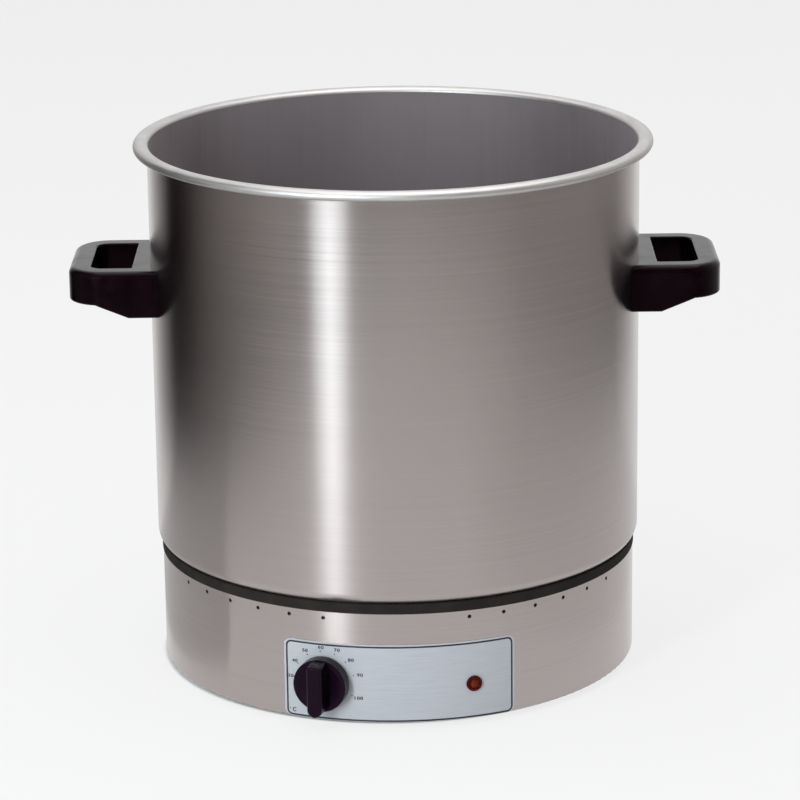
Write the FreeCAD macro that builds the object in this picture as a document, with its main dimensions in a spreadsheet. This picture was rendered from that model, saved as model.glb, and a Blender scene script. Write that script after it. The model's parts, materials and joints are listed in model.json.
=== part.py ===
"""Candle wax melter: a 29 litre steel pot on a heated base, built as a parametric document.

Millimetres, +Z up.  The origin lies on the pot's axis, on the surface that the feet stand on.
The front, with the dial, faces -Y, and the two handles lie on the X axis.  Angles go round the
pot's axis from the front towards +X.
"""
import FreeCAD, Part
import math
import os
import re

import Sketcher
from FreeCAD import Vector

# Driving sizes: alias, value, what it measures.
SIZES = [
    ("pot_inner_radius", 175.0, "inside of the pot's wall"),
    ("pot_wall", 1.0, "sheet of the pot's wall and floor"),
    ("pot_height", 294.7, "from the pot's underside to the top of its rim"),
    ("pot_corner_radius", 8.0, "outside of the bend between floor and wall"),
    ("rim_half_width", 5.45, "half of the flattened, rolled rim across"),
    ("rim_half_height", 3.6, "half of the rolled rim up and down"),
    ("rim_side_radius", 2.9, "outside of the roll's two tight bends"),
    ("rim_curl_angle", 12.0, "where the roll's end lies under it, from straight down"),
    ("skirt_inset", 3.2, "how far the skirt lies inside the pot's wall"),
    ("skirt_wall", 0.8, "sheet of the skirt"),
    ("skirt_height", 80.0, "from the skirt's lower edge to its upper edge"),
    ("skirt_bend_radius", 1.2, "outside of the bend at the skirt's hem"),
    ("hem_width", 12.0, "inward hem at the foot of the skirt"),
    ("vent_radius", 1.4, "vent holes round the top of the skirt"),
    ("vent_drop", 4.7, "vent holes below the skirt's upper edge"),
    ("vent_step_angle", 8.55, "angle from one vent hole to the next"),
    ("vent_turn", -0.6, "turn of the rows of vent holes round the pot's axis"),
    ("ring_band_height", 7.0, "insulating ring from the skirt's edge to the pot's underside"),
    ("ring_lip_rise", 0.4, "how far the ring's edge rises round the pot's bend"),
    ("ring_width", 14.8, "width of the ring's shelf"),
    ("ring_tongue_depth", 6.0, "tongue of the ring inside the skirt"),
    ("ring_tongue_width", 3.0, "thickness of that tongue"),
    ("ring_stand", 0.5, "how far the ring stands out past the skirt"),
    ("ring_bevel", 0.5, "bevel of the ring's upper edge"),
    ("fit_gap", 0.3, "clearance where one piece slips into another"),
    ("close_gap", 0.05, "clearance of a shank, bush or shaft in its hole"),
    ("drill_reach", 8.0, "how far a drilled hole goes past its sheet, on both sides"),
    ("plate_inset", 6.8, "base plate's edge inside the skirt"),
    ("plate_thickness", 1.2, "sheet of the base plate"),
    ("dimple_radius", 18.0, "flat of the raised centre of the base plate"),
    ("dimple_slope", 10.0, "width of the slope round that raised centre"),
    ("foot_height", 3.8, "rubber foot below the base plate"),
    ("foot_radius", 12.0, "rubber foot"),
    ("foot_circle_radius", 140.0, "feet from the pot's axis"),
    ("foot_neck_radius", 4.0, "neck of a foot in the base plate"),
    ("foot_head_radius", 5.6, "head of a foot above the base plate"),
    ("foot_head_height", 3.5, "height of that head"),
    ("foot_chamfer", 1.0, "bevel at a foot's lower edge"),
    ("stud_radius", 4.0, "central stud, M8"),
    ("stud_tip", 1.7, "stud past its lowest nut"),
    ("stud_table_gap", 3.0, "stud's end above the table"),
    ("nut_flats", 13.0, "M8 nut across its flats"),
    ("nut_height", 6.5, "M8 nut"),
    ("washer_radius", 8.0, "washer under the lowest nut"),
    ("washer_thickness", 1.6, "that washer"),
    ("spreader_radius", 140.0, "aluminium heat spreader"),
    ("spreader_thickness", 4.0, "heat spreader"),
    ("spreader_hole_radius", 12.0, "hole in the spreader round the stud"),
    ("element_circle_radius", 105.0, "centre line of the tubular heating element"),
    ("element_tube_radius", 4.25, "tube of the heating element"),
    ("element_gap_angle", 25.0, "half of the gap between the element's ends, at the back"),
    ("element_bend_radius", 12.0, "bend where an end of the element turns down"),
    ("element_tail", 12.0, "straight cold end below that bend"),
    ("bead_length", 5.0, "ceramic bead on a cold end"),
    ("pin_radius", 2.0, "threaded pin of a cold end"),
    ("pin_length", 12.0, "that pin"),
    ("clamp_width", 20.0, "bar that presses the element to the spreader"),
    ("clamp_thickness", 2.0, "that bar"),
    ("clamp_overhang", 12.0, "bar past the element's centre line"),
    ("shield_radius", 150.0, "heat shield below the element"),
    ("shield_thickness", 0.8, "sheet of the heat shield"),
    ("shield_rim_height", 6.0, "upturned rim of the heat shield"),
    ("shield_cutout_radius", 12.8, "hole in the heat shield below the thermal cutout"),
    ("shield_end_gap", 1.5, "heat shield round the element's cold ends"),
    ("shield_tube_radius", 4.5, "hole in the heat shield for the capillary tube"),
    ("cutout_back", 55.0, "thermal cutout behind the pot's axis"),
    ("cutout_radius", 8.0, "thermal cutout"),
    ("cutout_height", 9.0, "thermal cutout"),
    ("cutout_ear_length", 30.0, "its mounting plate, from ear to ear"),
    ("cutout_ear_width", 20.0, "its mounting plate"),
    ("ear_thickness", 1.0, "its mounting plate"),
    ("small_screw_radius", 1.5, "M3 screws"),
    ("small_head_radius", 2.8, "their heads"),
    ("small_head_height", 2.0, "their heads"),
    ("tab_width", 6.3, "spade tabs"),
    ("tab_thickness", 0.8, "spade tabs"),
    ("tab_length", 7.0, "spade tabs"),
    ("bulb_radius", 3.0, "temperature bulb"),
    ("bulb_length", 60.0, "temperature bulb"),
    ("bulb_front", 50.0, "temperature bulb in front of the pot's axis"),
    ("clip_wall", 0.8, "strap that holds the bulb"),
    ("clip_length", 10.0, "that strap along the bulb"),
    ("clip_foot", 6.0, "each foot of the strap"),
    ("capillary_radius", 0.9, "capillary tube from the bulb to the thermostat"),
    ("dial_angle", -17.8, "dial, round the pot's axis from the front"),
    ("dial_height", 28.3, "dial's axis above the skirt's lower edge"),
    ("label_thickness", 0.3, "front label"),
    ("label_half_angle", 27.8, "half of the angle that the label covers"),
    ("label_low", 0.2, "label's lower edge above the skirt's"),
    ("label_high", 57.4, "label's upper edge above the skirt's lower edge"),
    ("label_corner_radius", 5.0, "corners of the label"),
    ("bracket_width", 46.0, "thermostat bracket"),
    ("bracket_height", 50.0, "thermostat bracket"),
    ("bracket_thickness", 1.5, "thermostat bracket"),
    ("thermostat_width", 32.0, "thermostat"),
    ("thermostat_height", 36.0, "thermostat"),
    ("thermostat_depth", 20.0, "thermostat"),
    ("thermostat_screw_rise", 13.0, "thermostat's screws above and below the dial's axis"),
    ("tab_pitch", 9.0, "thermostat's tabs from one to the next"),
    ("bush_radius", 5.0, "threaded bush of the thermostat"),
    ("bush_seat", 4.0, "bush inside the thermostat"),
    ("bush_stand", 3.9, "bush in front of the label"),
    ("bush_nut_flats", 14.0, "nut on the bush, across its flats"),
    ("bush_nut_height", 3.0, "that nut"),
    ("spindle_radius", 3.0, "dial's spindle"),
    ("spindle_inside", 12.0, "spindle inside the thermostat"),
    ("spindle_stand", 15.0, "spindle in front of the label"),
    ("spindle_flat_start", 6.0, "start of the spindle's flat in front of the label"),
    ("spindle_flat_depth", 0.8, "that flat"),
    ("knob_radius", 19.1, "disc of the knob"),
    ("knob_gap", 1.5, "knob in front of the label"),
    ("knob_disc_top", 9.8, "disc's edge in front of the label"),
    ("knob_dish", 1.4, "how deep the disc is dished"),
    ("knob_cavity_radius", 16.0, "hollow behind the disc"),
    ("knob_cavity_top", 6.2, "hollow's end in front of the label"),
    ("knob_hub_radius", 7.0, "hub inside the hollow"),
    ("knob_hub_gap", 0.5, "hub in front of the bush"),
    ("grip_width", 10.7, "grip bar of the knob"),
    ("grip_top", 22.0, "grip bar in front of the label"),
    ("grip_nose", 19.6, "rounded end of the grip, from the dial's axis"),
    ("grip_tail", 17.3, "flat end of the grip, from the dial's axis"),
    ("grip_nose_low", 3.0, "underside of the grip's nose, in front of the label"),
    ("grip_bevel", 1.0, "bevel under the nose, and the grip's foot inside the disc's edge"),
    ("grip_round", 1.4, "rounding of the grip's edges"),
    ("knob_spring_wall", 0.6, "spring round the knob's hub"),
    ("knob_spring_height", 1.4, "that spring"),
    ("lamp_angle", 17.45, "pilot lamp, round the pot's axis from the front"),
    ("lamp_height", 25.8, "pilot lamp above the skirt's lower edge"),
    ("lamp_flange_radius", 5.6, "rim of the lamp's lens"),
    ("lamp_flange_height", 1.6, "rim of the lamp's lens"),
    ("lamp_dome", 1.4, "dome of the lens above its rim"),
    ("lamp_stem_radius", 3.9, "stem of the lens"),
    ("lamp_stem_length", 3.0, "stem of the lens"),
    ("lamp_hollow_radius", 3.1, "hollow of the lens"),
    ("lamp_body_radius", 4.9, "housing of the lamp"),
    ("lamp_body_length", 16.0, "housing of the lamp"),
    ("lamp_back_wall", 1.5, "housing's back"),
    ("neon_radius", 2.2, "neon bulb"),
    ("push_nut_radius", 9.0, "push nut behind the skirt"),
    ("push_nut_thickness", 0.8, "that push nut"),
    ("block_inset", 56.0, "middle of the terminal block inside the base plate's edge"),
    ("block_depth", 18.0, "terminal block"),
    ("block_height", 16.0, "terminal block"),
    ("pole_pitch", 10.0, "one pole of the block to the next"),
    ("sleeve_radius", 2.3, "brass sleeve of a pole"),
    ("sleeve_bore_radius", 1.6, "bore of a sleeve"),
    ("sleeve_rise", 8.0, "sleeves above the base plate"),
    ("wire_radius", 1.3, "insulated wires"),
    ("wire_insert", 5.0, "wire inside a pole of the block"),
    ("route_steps", 175.0, "steps over the pot's radius in which the wires are laid out"),
    ("earth_side", 62.0, "earth stud beside the pot's axis"),
    ("earth_radius", 2.5, "earth stud, M5"),
    ("earth_length", 14.0, "earth stud above the base plate"),
    ("earth_nut_flats", 8.0, "its nut across the flats"),
    ("earth_nut_height", 4.0, "its nut"),
    ("earth_tag_radius", 5.0, "ring tag under that nut"),
    ("gland_height", 25.0, "cable gland above the skirt's lower edge"),
    ("gland_thread_radius", 8.0, "thread of the gland"),
    ("gland_thread_inside", 8.0, "thread inside the skirt"),
    ("gland_flange_radius", 11.0, "flange of the gland"),
    ("gland_flange_height", 3.0, "flange of the gland"),
    ("gland_bore_radius", 4.6, "way through the gland"),
    ("gland_seat_radius", 6.4, "seat of the rubber seal"),
    ("gland_seat_start", 2.0, "seat's floor outside the skirt"),
    ("gland_mouth", 8.0, "gland's mouth outside the skirt"),
    ("seal_bore_radius", 3.6, "hole for the cable"),
    ("seal_length", 7.0, "rubber seal"),
    ("gland_cap_radius", 10.5, "cap of the gland"),
    ("gland_cap_wall", 3.3, "end wall of the cap"),
    ("gland_cap_bevel", 1.0, "bevel of the cap"),
    ("gland_nut_flats", 22.0, "gland's nut across its flats"),
    ("gland_nut_height", 3.5, "gland's nut"),
    ("handle_height", 175.0, "handle's underside above the pot's underside"),
    ("handle_depth", 33.5, "handle from its underside to its top"),
    ("handle_reach", 56.7, "handle out from the pot's wall"),
    ("handle_half_width", 52.0, "half of the handle's width"),
    ("handle_corner_radius", 25.0, "outer corners of the handle, from above"),
    ("handle_inner_bar", 11.5, "bar of the handle at the wall"),
    ("handle_outer_bar", 16.0, "bar of the handle that is gripped"),
    ("handle_side_bar", 15.0, "bars at the handle's sides"),
    ("handle_hole_radius", 9.0, "outer corners of the finger hole"),
    ("handle_slope_start", 13.5, "start of the underside's slope, out from the pot's wall"),
    ("handle_slope_run", 23.5, "length of that slope"),
    ("handle_slope_rise", 9.5, "rise of that slope"),
    ("handle_top_round", 5.0, "rounding of the handle's upper outer edge"),
    ("handle_round", 1.5, "rounding of the handle's other edges"),
    ("boss_thickness", 2.5, "steel bracket welded to the pot, inside the handle"),
    ("boss_half_width", 31.0, "that bracket"),
    ("boss_low", 6.0, "its lower edge above the handle's underside"),
    ("boss_height", 20.0, "that bracket"),
    ("handle_screw_spread", 25.0, "handle's screws from its middle"),
    ("handle_screw_radius", 2.5, "handle's screws, M5"),
    ("handle_screw_head_radius", 4.5, "their heads"),
    ("handle_screw_head_height", 3.0, "their heads"),
    ("handle_screw_recess", 4.0, "depth of the recess for a head"),
]

# Sizes that follow from the driving ones.
RULES = {
    # heights above the table, from the feet up
    "skirt_bottom": "foot_height + plate_thickness",
    "skirt_top": "skirt_bottom + skirt_height",
    "pot_bottom": "skirt_top + ring_band_height",
    "pot_floor": "pot_bottom + pot_wall",
    "rim_top": "pot_bottom + pot_height",
    "rim_z": "rim_top - rim_half_height",
    "spreader_bottom": "pot_bottom - spreader_thickness",
    "element_z": "spreader_bottom - element_tube_radius - close_gap",
    "element_end": "element_z - element_bend_radius - element_tail",
    "clamp_top": "element_z - element_tube_radius - close_gap",
    "clamp_bottom": "clamp_top - clamp_thickness",
    "shield_top": "clamp_bottom - nut_height",
    "shield_bottom": "shield_top - shield_thickness",
    "base_nut_bottom": "stud_table_gap + stud_tip",
    "base_nut_top": "base_nut_bottom + nut_height",
    "dimple_under": "base_nut_top + washer_thickness",
    "dial_z": "skirt_bottom + dial_height",
    "lamp_z": "skirt_bottom + lamp_height",
    "gland_z": "skirt_bottom + gland_height",
    "handle_z": "pot_bottom + handle_height",
    "bulb_z": "spreader_bottom - bulb_radius - close_gap",
    "cutout_under": "spreader_bottom - cutout_height",
    "sleeve_z": "skirt_bottom + sleeve_rise",
    "block_top": "skirt_bottom + block_height",
    "ring_top": "pot_bottom + ring_lip_rise",
    # radii about the pot's axis
    "pot_radius": "pot_inner_radius + pot_wall",
    "rim_circle": "pot_inner_radius + rim_half_width",
    "ring_radius": "skirt_radius + ring_stand",
    "skirt_radius": "pot_radius - skirt_inset",
    "skirt_inside": "skirt_radius - skirt_wall",
    "plate_radius": "skirt_radius - plate_inset",
    "tongue_radius": "skirt_inside - fit_gap",
    "label_inside": "skirt_radius + close_gap",
    "label_radius": "label_inside + label_thickness",
    "bracket_front": "sqrt(skirt_inside^2 - (bracket_width / 2)^2) - close_gap",
    "thermostat_front": "bracket_front - bracket_thickness",
    "thermostat_back": "thermostat_front - thermostat_depth",
    "push_nut_front": "sqrt(skirt_inside^2 - push_nut_radius^2) - close_gap",
    "gland_nut_front": "sqrt(skirt_inside^2 - (gland_nut_flats / sqrt(3))^2) - close_gap",
    "block_back": "plate_radius - block_inset",
    "route_step": "pot_inner_radius / route_steps",
    # the oval of the rolled rim: a crown above and below, tangent to two tight sides
    "rim_side_shift": "rim_half_width - rim_side_radius",
    "rim_crown_radius": (
        "(rim_side_shift^2 + rim_half_height^2 - rim_side_radius^2)"
        " / (2 * (rim_half_height - rim_side_radius))"
    ),
    "rim_crown_depth": "rim_crown_radius - rim_half_height",
    # clearance holes
    "stud_hole_radius": "stud_radius + fit_gap",
    "bush_hole_radius": "bush_radius + fit_gap",
    "lamp_hole_radius": "lamp_body_radius + close_gap",
    "small_hole_radius": "small_screw_radius + close_gap",
    # the handle
    "handle_tip": "pot_radius + handle_reach",
    "finger_hole_start": "pot_radius + handle_inner_bar",
    "finger_hole_end": "handle_tip - handle_outer_bar",
    "finger_hole_half": "handle_half_width - handle_side_bar",
    "boss_radius": "pot_radius + boss_thickness",
    "screw_seat": "finger_hole_start - handle_screw_recess",
    "slope_start": "pot_radius + handle_slope_start",
}

# Vent holes: steps of vent_step_angle from the front and from the back, on both sides.
VENT_STEPS = range(2, 8)
FOOT_ANGLES = (45, 135, 225, 315)
POLES = (-1.5, -0.5, 0.5, 1.5)

LEFT, RIGHT = 1, -1
SHARP_ANGLE = math.radians(10)
FULL_TURN = 360
OUTWARD = "rotationx(90)"

doc = FreeCAD.newDocument("candle_wax_melter")
sheet = doc.addObject("Spreadsheet::Sheet", "Sizes")
SIZE_NAMES = [alias for alias, number, words in SIZES]
nodes = []


# ---------------------------------------------------------------- the sheet
def fill_sheet():
    """Write each driving size, its words and its alias into the sheet."""
    for row, (alias, number, words) in enumerate(SIZES, start=1):
        sheet.set(f"A{row}", words)
        sheet.set(f"B{row}", str(number))
        sheet.setAlias(f"B{row}", alias)
    doc.recompute()


def cells(rule):
    """Turn a rule written in plain size names into an expression of the document."""

    def swap(match):
        word = match.group(0)
        if word in RULES:
            return "(" + cells(RULES[word]) + ")"
        return "Sizes." + word if word in SIZE_NAMES else word

    return re.sub(r"[A-Za-z_][A-Za-z_0-9]*", swap, str(rule))


def value(rule):
    """Work out a rule as a number."""
    return float(sheet.evalExpression(cells(rule)))


def bind(item, **rules):
    """Tie properties of an object to rules."""
    for name, rule in rules.items():
        item.setExpression(name, cells(rule))
    return item


def place(item, x="0", y="0", z="0", tip="rotationx(0)", around="0"):
    """Put an object at x, y, z with a tip of its own, then swing it round the pot's axis."""
    own = f"placement(vector({x}; {y}; {z}); {tip})"
    swing = f"placement(vector(0; 0; 0); rotationz({around}))"
    item.setExpression("Placement", cells(f"{swing} * {own}"))
    return item


def node(item):
    """Count an object as a finished sub-part, labelled with its own name."""
    item.Label = item.Name
    nodes.append(item)
    return item


# ---------------------------------------------------------------- sketched bodies
def plane_of(body, role):
    return next(item for item in body.Origin.OriginFeatures if item.Role == role)


def arc_between(start, end, radius, side):
    """Arc from start to end that turns left or right, by less than half a turn."""
    chord = end - start
    height = math.sqrt(max(radius**2 - (chord.Length / 2) ** 2, 0))
    across = Vector(-chord.y, chord.x, 0).normalize()
    centre = (start + end) * 0.5 + across * (height * side)
    first, last = (start, end) if side == LEFT else (end, start)
    spans = [math.atan2(point.y - centre.y, point.x - centre.x) for point in (first, last)]
    return Part.ArcOfCircle(Part.Circle(centre, Vector(0, 0, 1), radius), *spans)


def outline(body, name, role, corners):
    """Closed sketch on an origin plane.

    A corner is (x, y), reached by a straight edge, or (x, y, radius, side), reached by an arc.
    """
    sketch = body.newObject("Sketcher::SketchObject", name)
    sketch.AttachmentSupport = [(plane_of(body, role), "")]
    sketch.MapMode = "FlatFace"
    points = [Vector(value(corner[0]), value(corner[1]), 0) for corner in corners]
    starts, ends = [], []
    for index, corner in enumerate(corners):
        start, end = points[index - 1], points[index]
        if len(corner) == 2:
            sketch.addGeometry(Part.LineSegment(start, end), False)
            side = LEFT
        else:
            side = corner[3]
            sketch.addGeometry(arc_between(start, end, value(corner[2]), side), False)
        starts.append(1 if side == LEFT else 2)
        ends.append(2 if side == LEFT else 1)
    for index, corner in enumerate(corners):
        following = (index + 1) % len(corners)
        sketch.addConstraint(
            Sketcher.Constraint("Coincident", index, ends[index], following, starts[following])
        )
        for kind, rule, number in (
            ("DistanceX", corner[0], points[index].x),
            ("DistanceY", corner[1], points[index].y),
        ):
            spot = sketch.addConstraint(Sketcher.Constraint(kind, -1, 1, index, ends[index], number))
            sketch.setExpression(f"Constraints[{spot}]", cells(rule))
        if len(corner) == 4:
            spot = sketch.addConstraint(Sketcher.Constraint("Radius", index, value(corner[2])))
            sketch.setExpression(f"Constraints[{spot}]", cells(corner[2]))
    return sketch


def turned(name, corners):
    """Body turned about its own Z axis from an outline of (radius, height) corners."""
    body = doc.addObject("PartDesign::Body", name)
    turn = body.newObject("PartDesign::Revolution", name + "_turn")
    turn.Profile = outline(body, name + "_outline", "XZ_Plane", corners)
    turn.ReferenceAxis = (plane_of(body, "Z_Axis"), [""])
    turn.Angle = FULL_TURN
    return body


def padded(name, role, corners, length, midplane=False):
    """Body padded from an outline on one of its origin planes."""
    body = doc.addObject("PartDesign::Body", name)
    pad = body.newObject("PartDesign::Pad", name + "_pad")
    pad.Profile = outline(body, name + "_outline", role, corners)
    pad.Midplane = midplane
    bind(pad, Length=length)
    return body


def add_feature(body, kind, name, role, corners, **rules):
    """Add a pad, pocket or groove made from an outline of its own."""
    feature = body.newObject(kind, name)
    feature.Profile = outline(body, name + "_outline", role, corners)
    if kind in ("PartDesign::Pocket", "PartDesign::Pad"):
        feature.Midplane = True
        bind(feature, **rules)
    else:
        feature.ReferenceAxis = (plane_of(body, "Z_Axis"), [""])
        feature.Angle = FULL_TURN
    return feature


# ---------------------------------------------------------------- primitives and booleans
def drum(name, radius, height, **spot):
    """Cylinder that rises from its place."""
    return place(bind(doc.addObject("Part::Cylinder", name), Radius=radius, Height=height), **spot)


def slab(name, wide, deep, high, x="0", y="0", z="0", around="0"):
    """Box whose middle lies at x, y and whose underside lies at z."""
    box = bind(doc.addObject("Part::Box", name), Length=wide, Width=deep, Height=high)
    return place(box, f"{x} - ({wide}) / 2", f"{y} - ({deep}) / 2", z, around=around)


def hexagon(name, flats, height, **spot):
    """Hexagonal prism, from its size across the flats."""
    prism = doc.addObject("Part::Prism", name)
    prism.Polygon = 6
    bind(prism, Circumradius=f"({flats}) / sqrt(3)", Height=height)
    return place(prism, **spot)


def group(name, members):
    item = doc.addObject("Part::Compound", name)
    item.Links = members
    return item


def cut(name, base, tools, **spot):
    """Take tools away from a base."""
    item = doc.addObject("Part::Cut", name)
    item.Base = base
    item.Tool = tools[0] if len(tools) == 1 else group(name + "_tools", tools)
    return place(item, **spot) if spot else item


def joined(name, members, **spot):
    item = doc.addObject("Part::MultiFuse", name)
    item.Shapes = members
    return place(item, **spot) if spot else item


def collar(name, radius, hole, height, **spot):
    """Flat ring or tube."""
    return cut(
        name,
        drum(name + "_blank", radius, height),
        [drum(name + "_hole", hole, height)],
        **spot,
    )


def nut(name, flats, hole, height, **spot):
    """Hexagonal nut."""
    return cut(
        name,
        hexagon(name + "_blank", flats, height),
        [drum(name + "_hole", hole, height)],
        **spot,
    )


def radial(name, radius, start, length, height, across="0", around="0"):
    """Cylinder that points straight out at the front, from start for length, then swung round."""
    return drum(name, radius, length, x=across, y=f"-({start})", z=height, tip=OUTWARD, around=around)


# ---------------------------------------------------------------- tubes along a route
def step(x, y, z):
    """Offset along a route, in steps that grow with the pot."""
    return Vector(x, y, z) * value("route_step")


def swing(angle_rule, across, outward, height):
    """Point beside a radial axis: across it, out from the pot's axis, and up."""
    angle = math.radians(value(angle_rule))
    along, out = value(across), value(outward)
    x = along * math.cos(angle) + out * math.sin(angle)
    y = along * math.sin(angle) - out * math.cos(angle)
    return Vector(x, y, value(height))


def rounded_path(points):
    """Straight runs joined by tangent arcs, each as large as its two runs allow."""
    edges = []
    here = points[0]
    for before, corner, after in zip(points, points[1:], points[2:]):
        back, ahead = before - corner, after - corner
        turn = math.pi - back.getAngle(ahead)
        trim = 0.45 * min(back.Length, ahead.Length)
        radius = trim / math.tan(turn / 2)
        back.normalize()
        ahead.normalize()
        middle = corner + (back + ahead).normalize() * (radius / math.cos(turn / 2) - radius)
        start, end = corner + back * trim, corner + ahead * trim
        edges.append(Part.LineSegment(here, start).toShape())
        edges.append(Part.Arc(start, middle, end).toShape())
        here = end
    edges.append(Part.LineSegment(here, points[-1]).toShape())
    return edges


def tube(name, edges, radius):
    """Solid of a round section carried along a path."""
    start = edges[0].Vertexes[0].Point
    heading = edges[0].tangentAt(edges[0].FirstParameter)
    section = Part.Wire([Part.makeCircle(radius, start, heading)])
    item = doc.addObject("Part::Feature", name)
    item.Shape = Part.Wire(edges).makePipeShell([section], True, False)
    return item


# ---------------------------------------------------------------- pot and handles
def rim_bend(inside, x_sign, z_sign):
    """Corner of the rolled rim where a tight side meets a crown, inside or outside the sheet."""
    share = f"(rim_crown_radius - {inside}) / (rim_crown_radius - rim_side_radius)"
    x = f"rim_circle + {x_sign} * rim_side_shift * {share}"
    z = f"rim_z + {z_sign} * rim_crown_depth * ({share} - 1)"
    return x, z


def rim_end(inside):
    """Point of the roll's end under the rim, on its outside or inside the sheet."""
    radius = f"(rim_crown_radius - {inside})"
    x = f"rim_circle - {radius} * sin(rim_curl_angle)"
    z = f"rim_z + rim_crown_depth - {radius} * cos(rim_curl_angle)"
    return x, z


def make_pot():
    """Drawn steel pot with a flattened, rolled rim."""
    corner, wall = "pot_corner_radius", "pot_wall"
    side, crown = "rim_side_radius", "rim_crown_radius"
    inner_side, inner_crown = f"{side} - {wall}", f"{crown} - {wall}"
    body = turned(
        "pot",
        [
            ("0", "pot_floor"),
            ("pot_radius - pot_corner_radius", "pot_floor"),
            ("pot_inner_radius", "pot_bottom + pot_corner_radius", f"{corner} - {wall}", LEFT),
            ("pot_inner_radius", "rim_z"),
            (*rim_bend("0", -1, 1), side, RIGHT),
            (*rim_bend("0", 1, 1), crown, RIGHT),
            ("rim_circle + rim_half_width", "rim_z", side, RIGHT),
            (*rim_bend("0", 1, -1), side, RIGHT),
            (*rim_end("0"), crown, RIGHT),
            rim_end(wall),
            (*rim_bend(wall, 1, -1), inner_crown, LEFT),
            (f"rim_circle + rim_half_width - {wall}", "rim_z", inner_side, LEFT),
            (*rim_bend(wall, 1, 1), inner_side, LEFT),
            (*rim_bend(wall, -1, 1), inner_crown, LEFT),
            ("pot_radius", "rim_z", inner_side, LEFT),
            ("pot_radius", "pot_bottom + pot_corner_radius"),
            ("pot_radius - pot_corner_radius", "pot_bottom", corner, RIGHT),
            ("0", "pot_bottom"),
        ],
    )
    node(body)


def handle_blank(name):
    """Handle on the +X side before the cuts at the wall: a rounded loop with a sloping underside."""
    half, tip, bend = "handle_half_width", "handle_tip", "handle_corner_radius"
    start = "pot_radius - handle_inner_bar"
    body = padded(
        name,
        "XY_Plane",
        [
            (start, f"-{half}"),
            (f"{tip} - {bend}", f"-{half}"),
            (tip, f"-{half} + {bend}", bend, LEFT),
            (tip, f"{half} - {bend}"),
            (f"{tip} - {bend}", half, bend, LEFT),
            (start, half),
        ],
        "handle_depth",
    )
    past = f"{tip} + handle_reach"
    add_feature(
        body,
        "PartDesign::Pocket",
        name + "_underside",
        "XZ_Plane",
        [
            ("slope_start", "-handle_depth"),
            (past, "-handle_depth"),
            (past, "handle_slope_rise"),
            ("slope_start + handle_slope_run", "handle_slope_rise"),
            ("slope_start", "0"),
        ],
        Length="3 * handle_half_width",
    )
    near, far, side, curve = (
        "finger_hole_start",
        "finger_hole_end",
        "finger_hole_half",
        "handle_hole_radius",
    )
    add_feature(
        body,
        "PartDesign::Pocket",
        name + "_finger_hole",
        "XY_Plane",
        [
            (near, f"-({side})"),
            (f"{far} - {curve}", f"-({side})"),
            (far, f"-({side}) + {curve}", curve, LEFT),
            (far, f"{side} - {curve}"),
            (f"{far} - {curve}", side, curve, LEFT),
            (near, side),
        ],
        Length="3 * handle_depth",
    )
    rounded(body, name + "_top_rounding", "handle_top_round", on_upper_outer_edge)
    wall = value("pot_radius")
    return rounded(body, name + "_rounding", "handle_round", lambda edge: edge.BoundBox.XMax > wall)


def on_upper_outer_edge(edge):
    """True for an edge of the handle's upper face that isn't round the finger hole."""
    box = edge.BoundBox
    side = value("handle_half_width - handle_side_bar / 2")
    end = value("handle_tip - handle_outer_bar / 2")
    outside = box.YMax > side or box.YMin < -side or box.XMax > end
    return outside and box.ZMin > value("handle_depth - handle_round") and box.XMax > value("pot_radius")


def sharp_edges(shape, keep):
    """Names of the edges, of those to keep, at which two faces meet at an angle."""
    names = []
    for number, edge in enumerate(shape.Edges, start=1):
        faces = shape.ancestorsOfType(edge, Part.Face)
        if len(faces) != 2 or not keep(edge):
            continue
        spot = edge.valueAt((edge.FirstParameter + edge.LastParameter) / 2)
        normals = [face.normalAt(*face.Surface.parameter(spot)) for face in faces]
        if normals[0].getAngle(normals[1]) > SHARP_ANGLE:
            names.append(f"Edge{number}")
    return names


def rounded(body, name, radius, keep):
    """Round the sharp edges of a body."""
    doc.recompute()
    base = body.Tip
    rounding = body.newObject("PartDesign::Fillet", name)
    rounding.Base = (base, sharp_edges(base.Shape, keep))
    bind(rounding, Radius=radius)
    return body


def screw_tools(name, radius, start, length, spread, height):
    """Pair of cylinders along +X, one each side of the middle."""
    return [
        drum(f"{name}_{side}", radius, length, x=start, y=y, z=height, tip="rotationy(90)")
        for side, y in (("near", f"-({spread})"), ("far", spread))
    ]


def make_handle(side, turn):
    """Handle, its welded bracket and its two screws, made on the +X side and swung round."""
    name = side + "_handle"
    middle = "boss_low + boss_height / 2"
    spread = "handle_screw_spread"
    swung = dict(z="handle_z", around=turn)
    boss_space = drum(
        name + "_boss_space",
        "boss_radius + fit_gap",
        "boss_height + 2 * fit_gap",
        z="boss_low - fit_gap",
    )
    boss_window = slab(
        name + "_boss_window",
        "2 * boss_radius",
        "2 * (boss_half_width + fit_gap)",
        "boss_height + 2 * fit_gap",
        x="boss_radius",
        z="boss_low - fit_gap",
    )
    boss_pocket = doc.addObject("Part::Common", name + "_boss_pocket")
    boss_pocket.Base, boss_pocket.Tool = boss_space, boss_window
    wall = drum(name + "_wall", "pot_radius + close_gap", "3 * handle_depth", z="-handle_depth")
    shanks = screw_tools(
        name + "_shank_hole",
        "handle_screw_radius + fit_gap",
        "pot_radius - handle_inner_bar",
        "2 * handle_inner_bar",
        spread,
        middle,
    )
    recesses = screw_tools(
        name + "_recess",
        "handle_screw_head_radius + fit_gap",
        "screw_seat",
        "2 * handle_screw_recess",
        spread,
        middle,
    )
    node(cut(name, handle_blank(name + "_blank"), [wall, boss_pocket] + shanks + recesses, **swung))
    make_boss(side, swung, middle, spread)
    return make_handle_screws(side, swung, middle, spread)


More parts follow.
